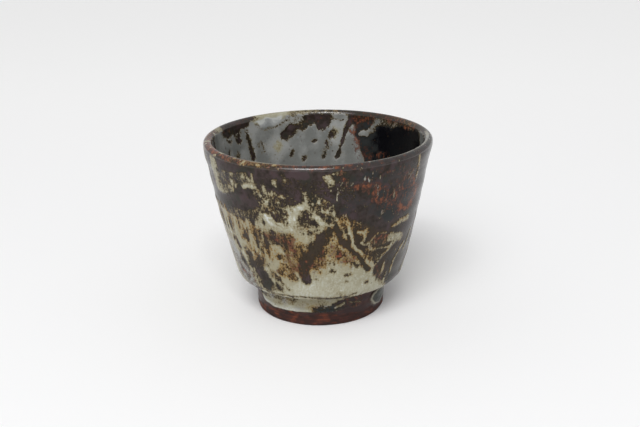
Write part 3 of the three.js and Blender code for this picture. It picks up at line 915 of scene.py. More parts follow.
def floor_spiral(spot):
    """The spiral that fingers leave on the floor inside"""
    on_floor = smooth_step(28, 22, spot.radius) * smooth_step(1, 4, spot.radius)
    on_floor *= smooth_step(floor_height - 3, floor_height - 1, spot.height)
    return FLOOR_SPIRAL * wave(spot.radius / FLOOR_SPIRAL_PITCH - spot.angle / FULL_TURN) * on_floor


def thrown(place):
    """Moves true turned points to where a hand on the wheel leaves them"""
    spot = polar(place)
    moved = place + radial(spot.angle) * wall_stray(spot)[:, None]
    moved[:, 2] += lip_sink(spot) + floor_spiral(spot)
    return moved


# Meshes and what their points carry

def set_attribute(piece, name, values):
    carried = piece.data.attributes.get(name)
    if carried is None:
        carried = piece.data.attributes.new(name, "FLOAT", "POINT")
    carried.data.foreach_set("value", np.asarray(values, dtype=np.float32))


def get_attribute(piece, name):
    values = np.empty(len(piece.data.vertices), dtype=np.float32)
    piece.data.attributes[name].data.foreach_get("value", values)
    return values.astype(float)


def set_fields(piece, fields):
    for name in FIELDS:
        set_attribute(piece, name, getattr(fields, name))


def get_places(piece):
    flat = np.empty(len(piece.data.vertices) * 3, dtype=np.float32)
    piece.data.vertices.foreach_get("co", flat)
    return flat.reshape(-1, 3).astype(float) / MM


def set_places(piece, places):
    piece.data.vertices.foreach_set("co", (places * MM).astype(np.float32).ravel())
    piece.data.update()


def deselect_all():
    bpy.ops.object.select_all(action="DESELECT")


def name_new(name):
    """Names the mesh object that was just added"""
    piece = bpy.context.object
    piece.name = name
    piece.data.name = name
    return piece


def smooth_shading():
    bpy.ops.object.shade_smooth_by_angle(angle=math.radians(SHARP_ANGLE))


def close_seams():
    """Merges the seam and the poles of the active piece and turns its faces outwards"""
    bpy.ops.object.mode_set(mode="EDIT")
    bpy.ops.mesh.select_all(action="SELECT")
    bpy.ops.mesh.remove_doubles(threshold=MERGE_GAP * MM)
    bpy.ops.mesh.delete_loose()
    bpy.ops.mesh.select_all(action="SELECT")
    bpy.ops.mesh.normals_make_consistent(inside=False)
    bpy.ops.object.mode_set(mode="OBJECT")


def spun(name, profile, runs, shown, columns):
    """A closed ring or cup, spun round the axis from a closed loop of radius and height"""
    deselect_all()
    bpy.ops.mesh.primitive_circle_add(vertices=len(profile), radius=RIM_RADIUS * MM)
    piece = name_new(name)
    set_places(piece, np.column_stack([profile[:, 0], np.zeros(len(profile)), profile[:, 1]]))
    set_attribute(piece, "run", runs)
    set_attribute(piece, "shown", shown)
    bpy.ops.object.modifier_add(type="SCREW")
    turn = piece.modifiers[-1]
    turn.axis = "Z"
    turn.angle = 2 * math.pi
    turn.steps = columns
    turn.render_steps = columns
    turn.use_merge_vertices = True
    turn.merge_threshold = MERGE_GAP * MM
    bpy.ops.object.modifier_apply(modifier=turn.name)
    close_seams()
    smooth_shading()
    return piece


def spun_clay(name, profile, columns):
    """A piece of bare clay, which shows all over"""
    count = len(profile)
    return spun(name, profile, np.zeros(count), np.ones(count), columns)


def coat(name, line, runs, columns):
    """A coat of glaze on a line of the bowl, with a plain back against the clay"""
    normals = outward(line)
    kept = np.append(np.arange(0, len(line) - 1, HIDDEN_EVERY), len(line) - 1)
    back = line[kept] - normals[kept] * COAT_DEPTH
    back[:, 0] = np.maximum(back[:, 0], 0)
    profile = np.vstack([line, back[::-1]])
    all_runs = np.concatenate([runs, runs[kept][::-1]])
    shown = np.concatenate([np.ones(len(line)), np.zeros(len(kept))])
    return spun(name, profile, all_runs, shown, columns)


def skin_of(piece, heights):
    """A piece's points as a skin to paint on, with a height for each"""
    skin = polar(get_places(piece))
    skin.height = heights
    return skin


def melt(piece, line, runs, skin, fields):
    """Fires a coat: gives it its fields, its relief and its hand-thrown shape"""
    run = get_attribute(piece, "run")
    fire_lip(skin, run, fields)
    set_fields(piece, fields)
    normals = outward(line)
    out = np.interp(run, runs, normals[:, 0])
    up = np.interp(run, runs, normals[:, 1])
    direction = radial(skin.angle) * out[:, None]
    direction[:, 2] = up
    depth = PALE_RELIEF * smooth_step(0.1, 0.8, fields.pale) * get_attribute(piece, "shown")
    depth *= smooth_step(2.5, 10, np.abs(run))
    set_places(piece, thrown(skin.place + direction * depth[:, None]))


# The glazed pieces

def outer_glaze():
    piece = coat("outer_glaze", outside, outside_run, GLAZE_COLUMNS)
    run = get_attribute(piece, "run")
    skin = skin_of(piece, np.interp(run, outside_run, outside[:, 1]))
    melt(piece, outside, outside_run, skin, outer_fields(skin))
    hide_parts("outer_iron_glaze", "outer_pale_glaze")
    return piece


def inner_glaze():
    piece = coat("inner_glaze", inside, inside_run, INNER_COLUMNS)
    run = get_attribute(piece, "run")
    skin = skin_of(piece, BOWL_HEIGHT - run)
    melt(piece, inside, inside_run, skin, inner_fields(skin))
    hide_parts("inner_iron_glaze", "inner_pale_glaze")
    return piece


def lip_glaze():
    piece = coat("lip_glaze", lip, lip_run, GLAZE_COLUMNS)
    run = get_attribute(piece, "run")
    skin = skin_of(piece, np.full(len(run), BOWL_HEIGHT - LIP_DROP))
    melt(piece, lip, lip_run, skin, lip_fields(skin, run))
    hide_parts("rim_glaze")
    return piece


# The pieces of bare clay

def clay_profile():
    """From the middle of the recess under the bowl, round the foot and under all the glaze"""
    inner_edge = FOOT_RADIUS - FOOT_TAPER - FOOT_WALL
    corner = point(inner_edge + SUNK, RECESS_DEPTH)
    round_start = corner - point(RECESS_ROUND, 0)
    round_end = corner - point(0, RECESS_ROUND)
    under_foot = inner_edge + FOOT_WALL / 4
    seat = FOOT_HEIGHT + SUNK / 2
    skin_line = np.vstack([outside[::8], lip[4:-3:4], inside[::8], inside[-1:]])
    under_glaze = skin_line - outward(skin_line) * COAT_DEPTH
    under_glaze[-1, 0] = 0
    return np.vstack([
        straight(point(0, RECESS_DEPTH), round_start, 40)[:-1],
        curve(round_start, corner, round_end, 8),
        [point(under_foot, round_end[1]), point(under_foot, seat)],
        straight(point(FOOT_RADIUS - 1, seat), heel - point(COAT_DEPTH, 0), 8)[:-1],
        under_glaze,
    ])


def bare_clay():
    """The thrown wall and floor, which shows only under the bowl"""
    piece = spun_clay("bare_clay", clay_profile(), CLAY_COLUMNS)
    places = get_places(piece)
    spot = polar(places)
    in_recess = smooth_step(RECESS_DEPTH + 1, RECESS_DEPTH, spot.height) * smooth_step(1, 4, spot.radius)
    turning = wave(spot.radius / RECESS_MARKS_PITCH - spot.angle / FULL_TURN)
    places[:, 2] += RECESS_MARKS * turning * in_recess
    set_places(piece, thrown(places))
    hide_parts("clay_body")
    return piece


def foot_profile():
    base = FOOT_RADIUS - FOOT_TAPER
    inner = base - FOOT_WALL
    edge = FOOT_EDGE_ROUND
    top = FOOT_HEIGHT + SUNK
    fillet_start = point(FOOT_RADIUS, FOOT_HEIGHT - FOOT_FILLET)
    fillet_end = point(FOOT_RADIUS + FOOT_FILLET, top)
    return chained(
        curve(point(base - edge, 0), point(base, 0), point(base, edge), 8),
        straight(point(base, edge), fillet_start, 40),
        curve(fillet_start, point(FOOT_RADIUS, FOOT_HEIGHT), fillet_end, 8),
        straight(fillet_end, point(inner, top), 4),
        straight(point(inner, top), point(inner, edge), 16),
        curve(point(inner, edge), point(inner, 0), point(inner + edge, 0), 8),
        straight(point(inner + edge, 0), point(base - edge, 0), 10)[:-1],
    )


def foot_skin(angle, height):
    """A plain upright side of the foot ring, as a skin to paint on"""
    place = radial(angle) * FOOT_RADIUS
    place[:, 2] = height
    return SimpleNamespace(angle=angle, radius=np.full(len(angle), FOOT_RADIUS), height=height, place=place)


def plain_foot(height):
    """Radius of the outer side of the foot ring without marks"""
    return FOOT_RADIUS - FOOT_TAPER + FOOT_TAPER * np.clip(height / FOOT_HEIGHT, 0, 1)


def foot_surface(angle, height):
    """Radius of the outer side of the foot ring, with the marks of its turning"""
    place = foot_skin(angle, height).place
    marks = FOOT_MARKS * wave(height / FOOT_MARKS_PITCH + angle / FULL_TURN)
    marks += FOOT_LUMPS * lumps(place, size=6, seed=81)
    marks += FOOT_GRAIN * lumps(place, size=1.8, seed=82)
    return plain_foot(height) + marks + FOOT_SWELL


def foot_ring():
    piece = spun_clay("foot_ring_clay", foot_profile(), FOOT_COLUMNS)
    places = get_places(piece)
    spot = polar(places)
    on_side = smooth_step(FOOT_RADIUS - FOOT_WALL / 2, FOOT_RADIUS - 0.8, spot.radius)
    change = (foot_surface(spot.angle, spot.height) - plain_foot(spot.height)) * on_side
    places += radial(spot.angle) * change[:, None]
    rough = FOOT_WEAR * (lumps(places, size=2.5, seed=83) - 1) * smooth_step(1.5, 0, spot.height)
    places[:, 2] -= rough * smooth_step(0, 0.5, spot.height)
    set_places(piece, places)
    film_edge = at_angle(spot, FOOT_FILM_EDGE) + 1.2 * lumps(places, size=4, seed=84)
    set_attribute(piece, "film", smooth_step(-1, 1.2, spot.height - film_edge))
    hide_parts("foot_ring")
    return piece


# Glaze on the foot ring

def patch_on_foot(name, angles, heights, grid):
    """A flat sheet to lay round the foot ring, and the angle and height of each of its points"""
    deselect_all()
    bpy.ops.mesh.primitive_grid_add(x_subdivisions=grid[0], y_subdivisions=grid[1], size=1)
    piece = name_new(name)
    share = get_places(piece) * MM + 0.5
    angle = angles[0] + (angles[1] - angles[0]) * share[:, 0]
    height = heights[0] + (heights[1] - heights[0]) * share[:, 1]
    return piece, angle, height


def wrap_on_foot(piece, angle, height, lift):
    """Bends a sheet round the foot ring, lifts it by a depth of glaze and closes it behind"""
    places = radial(angle) * (foot_surface(angle, height) + lift)[:, None]
    places[:, 2] = height
    set_places(piece, places)
    bpy.ops.object.modifier_add(type="SOLIDIFY")
    backing = piece.modifiers[-1]
    backing.thickness = SHEET_BACKING * MM
    backing.offset = -1
    bpy.ops.object.modifier_apply(modifier=backing.name)
    smooth_shading()


def run_lift(spot, inside_edge):
    """Depth of the glaze that ran over the foot: rolled at its edge, and sunk where there is none"""
    first, last = RUN_ANGLES
    ends = smooth_step(first + 1, first + 5, spot.angle) * smooth_step(last - 1, last - 5, spot.angle)
    roll = np.exp(-((inside_edge - 0.7) / 0.6) ** 2)
    thinned = 1 - 0.35 * smooth_step(8, 24, spot.angle)
    depth = RUN_DEPTH + RUN_ROLL * roll + 0.05 * lumps(spot.place, size=2, seed=93)
    return depth * smooth_step(-0.5, 0.5, inside_edge) * ends * thinned - RUN_SUNK


def run_fields(spot, inside_edge):
    """Pale, rust, ochre and slate in the glaze that ran over the foot"""
    pale = 1.0 + 0.5 * lumps(spot.place * np.array([0.3, 0.3, 1.6]), size=2, seed=94)
    paint(pale, stirred(spot, reach=0.6, seed=96), FOOT_RUN_MARKS, softness=1.2)
    pale -= 0.5 * smooth_step(0.3, -0.4, inside_edge)
    pooled = smooth_step(-8, 0, spot.angle) * smooth_step(18, 10, spot.angle)
    pooled *= smooth_step(10.4, 9.4, spot.height)
    return SimpleNamespace(
        pale=pale,
        rust=0.5 * smooth_step(10, 30, spot.angle),
        ochre=0.4 * smooth_step(-30, -10, spot.angle) * smooth_step(4, -6, spot.angle),
        slate=0.12 + 0.3 * lumps(spot.place, size=4, seed=95) + 0.5 * pooled,
    )


def foot_glaze_run():
    piece, angle, height = patch_on_foot("foot_run", RUN_ANGLES, RUN_HEIGHTS, RUN_GRID)
    spot = foot_skin(angle, height)
    edge = at_angle(spot, FOOT_RUN_EDGE) + 0.5 * lumps(spot.place, size=3, seed=91)
    edge += 0.25 * lumps(spot.place, size=1.2, seed=92)
    set_fields(piece, run_fields(spot, height - edge))
    wrap_on_foot(piece, angle, height, run_lift(spot, height - edge))
    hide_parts("foot_glaze_run")
    return piece


def foot_glaze_bead():
    piece, angle, height = patch_on_foot("foot_bead", BEAD_ANGLES, BEAD_HEIGHTS, BEAD_GRID)
    place = foot_skin(angle, height).place
    across = (angle - BEAD_ANGLE) / BEAD_HALF_ANGLE + 0.1 * lumps(place, size=3, seed=101)
    up = (height - BEAD_HEIGHT) / BEAD_HALF_HEIGHT + 0.1 * lumps(place, size=3, seed=102)
    reach = np.hypot(across, up)
    dome = np.sqrt(np.clip(1 - reach ** 2, 0, 1))
    lift = np.where(reach < 1, BEAD_DEPTH * dome, 0) - BEAD_SUNK * smooth_step(0.9, 1.15, reach)
    set_attribute(piece, "ring", reach)
    wrap_on_foot(piece, angle, height, lift)
    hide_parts("foot_glaze_bead")
    return piece


# Shader nodes

def shade(red, green, blue):
    """A colour as it looks on a screen, from 0 to 255, in the linear light that shaders use"""
    screen = np.array([red, green, blue]) / 255
    linear = np.where(screen <= 0.04045, screen / 12.92, ((screen + 0.055) / 1.055) ** 2.4)
    return (*linear, 1)


def feed(tree, node, inputs):
    """Sets a node's inputs to numbers or colours, or links them to other nodes' outputs"""
    for name, value in inputs.items():
        if isinstance(value, bpy.types.NodeSocket):
            tree.links.new(value, node.inputs[name])
        else:
            node.inputs[name].default_value = value


def add_node(tree, kind, inputs, **settings):
    node = tree.nodes.new(kind)
    for name, value in settings.items():
        setattr(node, name, value)
    feed(tree, node, inputs)
    return node


def math_of(tree, operation, first, second):
    return add_node(tree, "ShaderNodeMath", {0: first, 1: second}, operation=operation).outputs[0]


def product(tree, first, *others):
    total = first
    for value in others:
        total = math_of(tree, "MULTIPLY", total, value)
    return total


def scaled_sum(tree, base, *terms):
    """A value plus terms, each with its weight and taken about its middle of one half"""
    total = base
    for value, weight in terms:
        centred = math_of(tree, "SUBTRACT", value, 0.5)
        total = math_of(tree, "ADD", total, math_of(tree, "MULTIPLY", centred, weight))
    return total


def band(tree, value, low, high, start=0.0, end=1.0):
    """A smooth rise from start to end as a value goes from low to high"""
    inputs = {"Value": value, "From Min": low, "From Max": high, "To Min": start, "To Max": end}
    return add_node(tree, "ShaderNodeMapRange", inputs, interpolation_type="SMOOTHSTEP").outputs["Result"]


def noise(tree, coordinates, size, detail=3.0, roughness=0.55):
    """Cloudy noise with lumps of about one size in millimetres"""
    inputs = {"Vector": coordinates, "Scale": 1 / (size * MM), "Detail": detail, "Roughness": roughness}
    return add_node(tree, "ShaderNodeTexNoise", inputs).outputs["Fac"]


def speckle(tree, coordinates, size, low, high):
    """Small round spots, from 0 between them to 1 in their middles"""
    inputs = {"Vector": coordinates, "Scale": 1 / (size * MM)}
    cells = add_node(tree, "ShaderNodeTexVoronoi", inputs, feature="F1")
    return band(tree, cells.outputs["Distance"], high, low)


def mixed(tree, share, first, second):
    inputs = {"Factor": share, "A": first, "B": second}
    return add_node(tree, "ShaderNodeMix", inputs, data_type="RGBA").outputs["Result"]


def colour_ramp(tree, value, stops):
    node = add_node(tree, "ShaderNodeValToRGB", {"Fac": value})
    elements = node.color_ramp.elements
    while len(elements) < len(stops):
        elements.new(1)
    for element, (position, colour) in zip(elements, stops):
        element.position = position
        element.color = colour
    return node.outputs["Color"]


def read_attribute(tree, name):
    return add_node(tree, "ShaderNodeAttribute", {}, attribute_name=name).outputs["Fac"]


def coordinates_of(tree, kind="Object"):
    return add_node(tree, "ShaderNodeTexCoord", {}).outputs[kind]


def axis_of(tree, coordinates, axis):
    return add_node(tree, "ShaderNodeSeparateXYZ", {"Vector": coordinates}).outputs[axis]


def stretched(tree, coordinates, scale):
    return add_node(tree, "ShaderNodeMapping", {"Vector": coordinates, "Scale": scale}).outputs["Vector"]


def open_group(name, inputs):
    """A shader node group with named number inputs, which puts out a colour, a roughness and a height"""
    group = bpy.data.node_groups.new(name, "ShaderNodeTree")
    for label in inputs:
        group.interface.new_socket(label, in_out="INPUT", socket_type="NodeSocketFloat")
    group.interface.new_socket("Color", in_out="OUTPUT", socket_type="NodeSocketColor")
    group.interface.new_socket("Roughness", in_out="OUTPUT", socket_type="NodeSocketFloat")
    group.interface.new_socket("Height", in_out="OUTPUT", socket_type="NodeSocketFloat")
    return group, add_node(group, "NodeGroupInput", {}).outputs


def close_group(group, colour, roughness, height):
    add_node(group, "NodeGroupOutput", {"Color": colour, "Roughness": roughness, "Height": height})
    return group


# Colours of the glazes and the clay
IRON_PURPLE = shade(57, 46, 45)
IRON_BROWN = shade(36, 29, 23)
IRON_GREY = shade(66, 58, 55)
IRON_GREEN = shade(39, 41, 31)
IRON_PLUM = shade(68, 54, 57)
IRON_OLIVE = shade(53, 43, 30)
SLATE_BLUE = shade(40, 42, 42)
SLATE_BLACK = shade(5, 5, 9)
STONE_GREY = shade(104, 107, 108)
STONE_WHITE = shade(146, 148, 148)
OLIVE_BLACK = shade(27, 22, 11)
OLIVE_BROWN = shade(62, 48, 28)
OCHRE = shade(122, 91, 50)
CREAM_TAN = shade(143, 126, 86)
SMOKE_BROWN = shade(53, 44, 30)
SMOKE_TAN = shade(88, 77, 56)
SMOKE_CREAM = shade(122, 113, 88)
PALE_CREAM = shade(144, 137, 112)
PALE_GREY = shade(150, 146, 125)
WHITE_GREY = shade(168, 166, 149)
SNOW_GREY = shade(192, 194, 190)
RUST_ORANGE = shade(124, 73, 47)
RUST_RED = shade(86, 52, 40)
RUST_BROWN = shade(42, 28, 23)
CLAY_RED = shade(68, 37, 30)
CLAY_DARK = shade(40, 26, 23)
CLAY_WARM = shade(104, 54, 36)
CLAY_PLUM = shade(52, 37, 36)
BEAD_DARK = shade(42, 45, 38)
BEAD_GREEN = shade(50, 51, 42)
BEAD_OUTLINE = shade(144, 140, 123)
BEAD_EDGE = shade(62, 48, 40)
# Floor colours: the far one is lighter, as painted light
FLOOR_NEAR_COLOUR = (0.93, 0.93, 0.935, 1)
FLOOR_FAR_PAINTED_LIGHT = (0.985, 0.985, 0.985, 1)
WHITE = (1, 1, 1, 1)

# Colours of pale ash glaze by its depth, plain and stained with ochre
PLAIN_ASH = [
    (0.1, OLIVE_BLACK), (0.28, SMOKE_BROWN), (0.42, SMOKE_TAN), (0.56, SMOKE_CREAM),
    (0.74, PALE_CREAM), (1.0, PALE_GREY), (1.22, WHITE_GREY), (1.4, SNOW_GREY),
]
WARM_ASH = [
    (0.1, OLIVE_BLACK), (0.28, OLIVE_BROWN), (0.44, OCHRE), (0.6, CREAM_TAN),
    (0.8, PALE_CREAM), (1.2, PALE_GREY),
]

# Depth of pale glaze at the end of the colour ramps, which run from 0 to 1
DEEPEST = 1.4


def ash_ramp(tree, depth, stops):
    """Colours by depth of pale glaze"""
    return colour_ramp(tree, depth, [(position / DEEPEST, colour) for position, colour in stops])


def glaze_clouds(tree, place):
    """The noises that all parts of the melted glaze share, with runs drawn down the wall"""
    return SimpleNamespace(
        fine=noise(tree, place, 0.7, detail=4, roughness=0.6),
        middling=noise(tree, place, 2.0),
        wide=noise(tree, place, 4.5),
        runs=noise(tree, stretched(tree, place, (1, 1, 0.16)), 1.0),
    )


def fleck_share(tree, place, field):
    """Upright flecks of pale glaze, which lie on slate-tinged iron glaze"""
    upright = noise(tree, stretched(tree, place, (1, 1, 0.3)), 1.3)
    flecks = band(tree, upright, 0.56, 0.68, 0, 0.85)
    tinged = band(tree, field["Slate"], 0.12, 0.3)
    shallow = band(tree, field["Slate"], 0.8, 0.55)
    bare = band(tree, field["Pale"], 0.3, 0.0)
    patchy = band(tree, noise(tree, place, 6, detail=2), 0.4, 0.56)
    return product(tree, tinged, shallow, bare, patchy, flecks)


def broken_pale(tree, place, cloud, field):
    """Depth of pale glaze, broken up most where it is thin"""
    terms = ((cloud.fine, 1.5), (cloud.middling, 0.7), (cloud.wide, 0.5), (cloud.runs, field["Drag"]))
    on_iron = band(tree, field["Pale"], -0.3, 0.25, 0.3, 1)
    on_thick = band(tree, field["Pale"], 0.85, 1.15, 1, 0.3)
    strength = product(tree, on_iron, on_thick, field["Breaks"])
    breaks = product(tree, scaled_sum(tree, 0.0, *terms), strength)
    pale = math_of(tree, "ADD", field["Pale"], breaks)
    return math_of(tree, "ADD", pale, fleck_share(tree, place, field))


def iron_colour(tree, place, cloud, field, slate):
    """Dark iron glaze, clouded with grey, green, plum and olive, and blue-black where it is slate"""
    iron = mixed(tree, band(tree, cloud.wide, 0.36, 0.6), IRON_BROWN, IRON_PURPLE)
    tints = (
        (band(tree, cloud.middling, 0.4, 0.7, 0, 0.4), IRON_GREY),
        (band(tree, noise(tree, place, 9), 0.5, 0.62, 0, 0.7), IRON_GREEN),
        (band(tree, noise(tree, place, 6), 0.54, 0.66, 0, 0.7), IRON_PLUM),
        (band(tree, field["Ochre"], 0.05, 0.4, 0, 0.75), IRON_OLIVE),
        (band(tree, slate, 0.2, 0.6), SLATE_BLUE),
        (band(tree, slate, 0.75, 1.1), SLATE_BLACK),
    )
    for share, tint in tints:
        iron = mixed(tree, share, iron, tint)
    return iron


def ash_colour(tree, cloud, field, pale, slate):
    """Pale ash glaze by its depth, stained with ochre or stone-grey"""
    depth = math_of(tree, "DIVIDE", pale, DEEPEST)
    stain = scaled_sum(tree, field["Ochre"], (cloud.wide, 1.6), (cloud.middling, 1.2))
    stained = band(tree, stain, 0.0, 0.7)
    ash = mixed(tree, stained, ash_ramp(tree, depth, PLAIN_ASH), ash_ramp(tree, depth, WARM_ASH))
    stone = mixed(tree, band(tree, slate, 0.5, 1.1), STONE_WHITE, STONE_GREY)
    stony = product(tree, band(tree, slate, 0.2, 0.55, 0, 0.85), band(tree, pale, 0.3, 0.7))
    return mixed(tree, stony, ash, stone)


def spotted(tree, place, colour):
    """A colour with small olive spots scattered over it"""
    spots = speckle(tree, place, 1.7, 0.16, 0.3)
    scatter = band(tree, noise(tree, place, 5, detail=2), 0.5, 0.68)
    return mixed(tree, product(tree, spots, scatter, 0.8), colour, OLIVE_BROWN)


def rusted(tree, cloud, field, colour):
    """A colour broken by rust"""
    rust = scaled_sum(tree, field["Rust"], (cloud.fine, 1.3), (cloud.middling, 1.7), (cloud.runs, 0.8))
    rust_colour = colour_ramp(tree, rust, [(0.35, RUST_BROWN), (0.72, RUST_RED), (1.0, RUST_ORANGE)])
    return mixed(tree, band(tree, rust, 0.3, 0.8, 0, 0.9), colour, rust_colour)


def glaze_height(tree, place, cloud, pale):
    """Relief too fine for the mesh: edges of the pale glaze, its waves and its pinholes"""
    edges = band(tree, pale, 0.0, 0.8, 0, 0.7)
    waves = scaled_sum(tree, edges, (cloud.fine, 0.4), (cloud.middling, 0.4))
    pits = speckle(tree, place, 1.1, 0.05, 0.14)
    return math_of(tree, "SUBTRACT", waves, product(tree, pits, 0.35))


def melted_glaze_group():
    """Iron glaze under pale ash glaze: colour, roughness and height from four painted fields"""
    tree, field = open_group("Melted glaze", ["Pale", "Rust", "Ochre", "Slate", "Drag", "Breaks"])
    place = coordinates_of(tree)
    cloud = glaze_clouds(tree, place)
    pale = broken_pale(tree, place, cloud, field)
    slate = scaled_sum(tree, field["Slate"], (cloud.wide, 0.9), (cloud.fine, 0.4))
    iron = iron_colour(tree, place, cloud, field, slate)
    ash = ash_colour(tree, cloud, field, pale, slate)
    colour = mixed(tree, band(tree, pale, 0.0, 0.2), iron, ash)
    colour = rusted(tree, cloud, field, spotted(tree, place, colour))
    rough = scaled_sum(tree, 0.2, (cloud.middling, 0.2), (cloud.fine, 0.12))
    return close_group(tree, colour, rough, glaze_height(tree, place, cloud, pale))


def fired_clay_group():
    """Bare fired stoneware: grain, turning marks, warm flashes and a thin film of glaze"""
    tree, field = open_group("Fired clay", ["Film"])
    place = coordinates_of(tree)
    grain = noise(tree, place, 0.45, detail=4, roughness=0.65)
    cloud = noise(tree, place, 4.5, detail=4)
    rings = noise(tree, stretched(tree, place, (0.05, 0.05, 1)), 0.6, detail=2)
    flashes = noise(tree, stretched(tree, place, (1, 1, 2)), 6, detail=4)
    film = scaled_sum(tree, field["Film"], (grain, 0.5), (cloud, 0.6))
    film = band(tree, film, 0.35, 0.75)
    colour = mixed(tree, band(tree, cloud, 0.36, 0.62), CLAY_DARK, CLAY_RED)
    tints = (
        (band(tree, flashes, 0.48, 0.64), CLAY_WARM),
        (band(tree, rings, 0.36, 0.66, 0.0, 0.7), CLAY_DARK),
        (product(tree, speckle(tree, place, 1.3, 0.12, 0.25), 0.5), RUST_BROWN),
        (product(tree, film, 0.8), CLAY_PLUM),
    )
    for share, tint in tints:
        colour = mixed(tree, share, colour, tint)
    rough = math_of(tree, "SUBTRACT", scaled_sum(tree, 0.62, (grain, 0.3)), product(tree, film, 0.3))
    return close_group(tree, colour, rough, scaled_sum(tree, 0.5, (grain, 1.0), (rings, 0.6)))


# Materials

def new_material(name):
    material = bpy.data.materials.new(name)
    material.use_nodes = True
    tree = material.node_tree
    return material, tree, tree.nodes["Principled BSDF"]


def finish_surface(tree, shader, colour, roughness, height, bump_depth, gloss):
    """Links colour and roughness to a shader, raises its surface by a height and sets its gloss"""
    bump = add_node(tree, "ShaderNodeBump", {"Distance": bump_depth * MM, "Height": height})
    feed(tree, shader, {
        "Base Color": colour,
        "Roughness": roughness,
        "Normal": bump.outputs["Normal"],
        "Specular IOR Level": gloss,
    })


def glaze_material(name, group, drag, breaks, bump_depth, dullness, gloss):
    """Melted glaze, more or less dragged, broken up and dull"""
    material, tree, shader = new_material(name)
    inputs = {field.capitalize(): read_attribute(tree, field) for field in FIELDS}
    inputs.update({"Drag": drag, "Breaks": breaks})
    glaze = add_node(tree, "ShaderNodeGroup", inputs, node_tree=group).outputs
    roughness = product(tree, glaze["Roughness"], dullness)
    finish_surface(tree, shader, glaze["Color"], roughness, glaze["Height"], bump_depth, gloss)
    return material


def clay_material(name, group, has_film):
    material, tree, shader = new_material(name)
    film = read_attribute(tree, "film") if has_film else 0.0
    clay = add_node(tree, "ShaderNodeGroup", {"Film": film}, node_tree=group).outputs
    finish_surface(tree, shader, clay["Color"], clay["Roughness"], clay["Height"], bump_depth=0.06, gloss=0.2)
    return material


def bead_material():
    """A pooled drop of grey-green glaze with a pale outline"""
    material, tree, shader = new_material("Pooled ash glaze")
    cloud = noise(tree, coordinates_of(tree), 1.6, detail=4)
    ring = scaled_sum(tree, read_attribute(tree, "ring"), (cloud, 0.22))
    stops = [(0.2, BEAD_DARK), (0.68, BEAD_GREEN), (0.8, BEAD_OUTLINE), (0.94, BEAD_EDGE)]
    colour = colour_ramp(tree, ring, stops)
    rough = scaled_sum(tree, 0.16, (cloud, 0.1))
    finish_surface(tree, shader, colour, rough, cloud, bump_depth=0.05, gloss=0.3)
    return material


# Pieces with their materials

def show(piece, material):
    piece.data.materials.clear()
    piece.data.materials.append(material)
    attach(piece, "root")


melted_glaze = melted_glaze_group()
fired_clay = fired_clay_group()
show(bare_clay(), clay_material("Bare clay under the bowl", fired_clay, has_film=False))
show(foot_ring(), clay_material("Bare clay of the foot", fired_clay, has_film=True))
show(outer_glaze(), glaze_material(
    "Poured glaze outside", melted_glaze, drag=1.0, breaks=1.35, bump_depth=0.08, dullness=1.0, gloss=0.15,
))
show(inner_glaze(), glaze_material(
    "Poured glaze inside", melted_glaze, drag=0.4, breaks=1.1, bump_depth=0.06, dullness=1.0, gloss=0.18,
))
show(lip_glaze(), glaze_material(
    "Thin glaze on the lip", melted_glaze, drag=0.0, breaks=1.3, bump_depth=0.05, dullness=0.4, gloss=0.55,
))
show(foot_glaze_run(), glaze_material(
    "Glaze run on the foot", melted_glaze, drag=0.0, breaks=1.1, bump_depth=0.06, dullness=1.0, gloss=0.18,
))
show(foot_glaze_bead(), bead_material())


# Floor, light and camera, in metres and degrees
FLOOR_SIZE = 40
FLOOR_NEAR = 0
FLOOR_FAR = 0.6
CAMERA_PLACE = (0.00116, -0.37718, 0.17586)
CAMERA_PITCH = 19.58
CAMERA_YAW = 0.127
CAMERA_ROLL = -1.086
CAMERA_LENS = 50
CAMERA_SENSOR = 36
CAMERA_NEAR = 0.01
ZENITH_LIGHT = 0.45
HORIZON_LIGHT = 0.6
SUN_LIGHT = 1.4
SUN_SPREAD = 44
SUN_TURN = (44, 0, -16)
SOFTBOX_LIGHT = 2.6
SOFTBOX_WIDTH = 0.45
SOFTBOX_DEPTH = 0.08
SOFTBOX_PLACE = (-0.1, -0.62, 0.8)


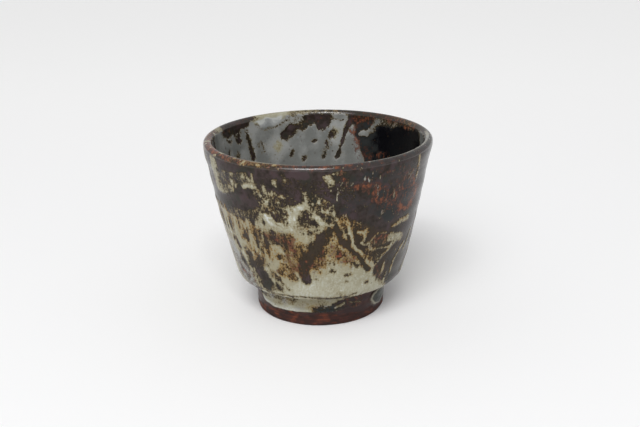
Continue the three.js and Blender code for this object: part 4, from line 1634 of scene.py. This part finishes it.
def studio_floor():
    """Pale paper, with painted light that makes it a little lighter far behind the bowl"""
    deselect_all()
    bpy.ops.mesh.primitive_plane_add(size=FLOOR_SIZE)
    floor = name_new("studio_floor")
    material, tree, shader = new_material("Pale paper floor")
    far = band(tree, axis_of(tree, coordinates_of(tree), "Y"), FLOOR_NEAR, FLOOR_FAR)
    colour = mixed(tree, far, FLOOR_NEAR_COLOUR, FLOOR_FAR_PAINTED_LIGHT)
    feed(tree, shader, {"Base Color": colour, "Roughness": 0.9, "Specular IOR Level": 0.1})
    floor.data.materials.append(material)


def add_lamp(kind, name, light):
    deselect_all()
    bpy.ops.object.light_add(type=kind)
    lamp = bpy.context.object
    lamp.name = name
    lamp.data.energy = light
    return lamp


def soft_lamps():
    sun = add_lamp("SUN", "soft_window", SUN_LIGHT)
    sun.data.angle = math.radians(SUN_SPREAD)
    sun.rotation_euler = [math.radians(turn) for turn in SUN_TURN]
    box = add_lamp("AREA", "softbox", SOFTBOX_LIGHT)
    box.data.shape = "RECTANGLE"
    box.data.size = SOFTBOX_WIDTH
    box.data.size_y = SOFTBOX_DEPTH
    box.location = SOFTBOX_PLACE
    box.rotation_euler = Vector(SOFTBOX_PLACE).to_track_quat("Z", "Y").to_euler()


def white_room():
    """White light from all round, a little stronger at the horizon than above"""
    world = bpy.data.worlds.new("White room")
    world.use_nodes = True
    tree = world.node_tree
    rise = axis_of(tree, coordinates_of(tree, "Generated"), "Z")
    inputs = {"Value": rise, "To Min": HORIZON_LIGHT, "To Max": ZENITH_LIGHT}
    strength = add_node(tree, "ShaderNodeMapRange", inputs).outputs["Result"]
    feed(tree, tree.nodes["Background"], {"Color": WHITE, "Strength": strength})
    bpy.context.scene.world = world


def photo_camera():
    deselect_all()
    bpy.ops.object.camera_add()
    camera = bpy.context.object
    camera.name = "photo_camera"
    camera.data.lens = CAMERA_LENS
    camera.data.sensor_width = CAMERA_SENSOR
    camera.data.clip_start = CAMERA_NEAR
    camera.data.dof.use_dof = False
    tilt = Matrix.Rotation(math.radians(90 - CAMERA_PITCH), 4, "X")
    roll = Matrix.Rotation(math.radians(CAMERA_ROLL), 4, "Z")
    turn = Matrix.Rotation(math.radians(CAMERA_YAW), 4, "Z")
    camera.matrix_world = Matrix.Translation(CAMERA_PLACE) @ turn @ tilt @ roll
    bpy.context.scene.camera = camera


studio_floor()
soft_lamps()
white_room()
photo_camera()
bpy.context.scene.view_settings.view_transform = "Standard"
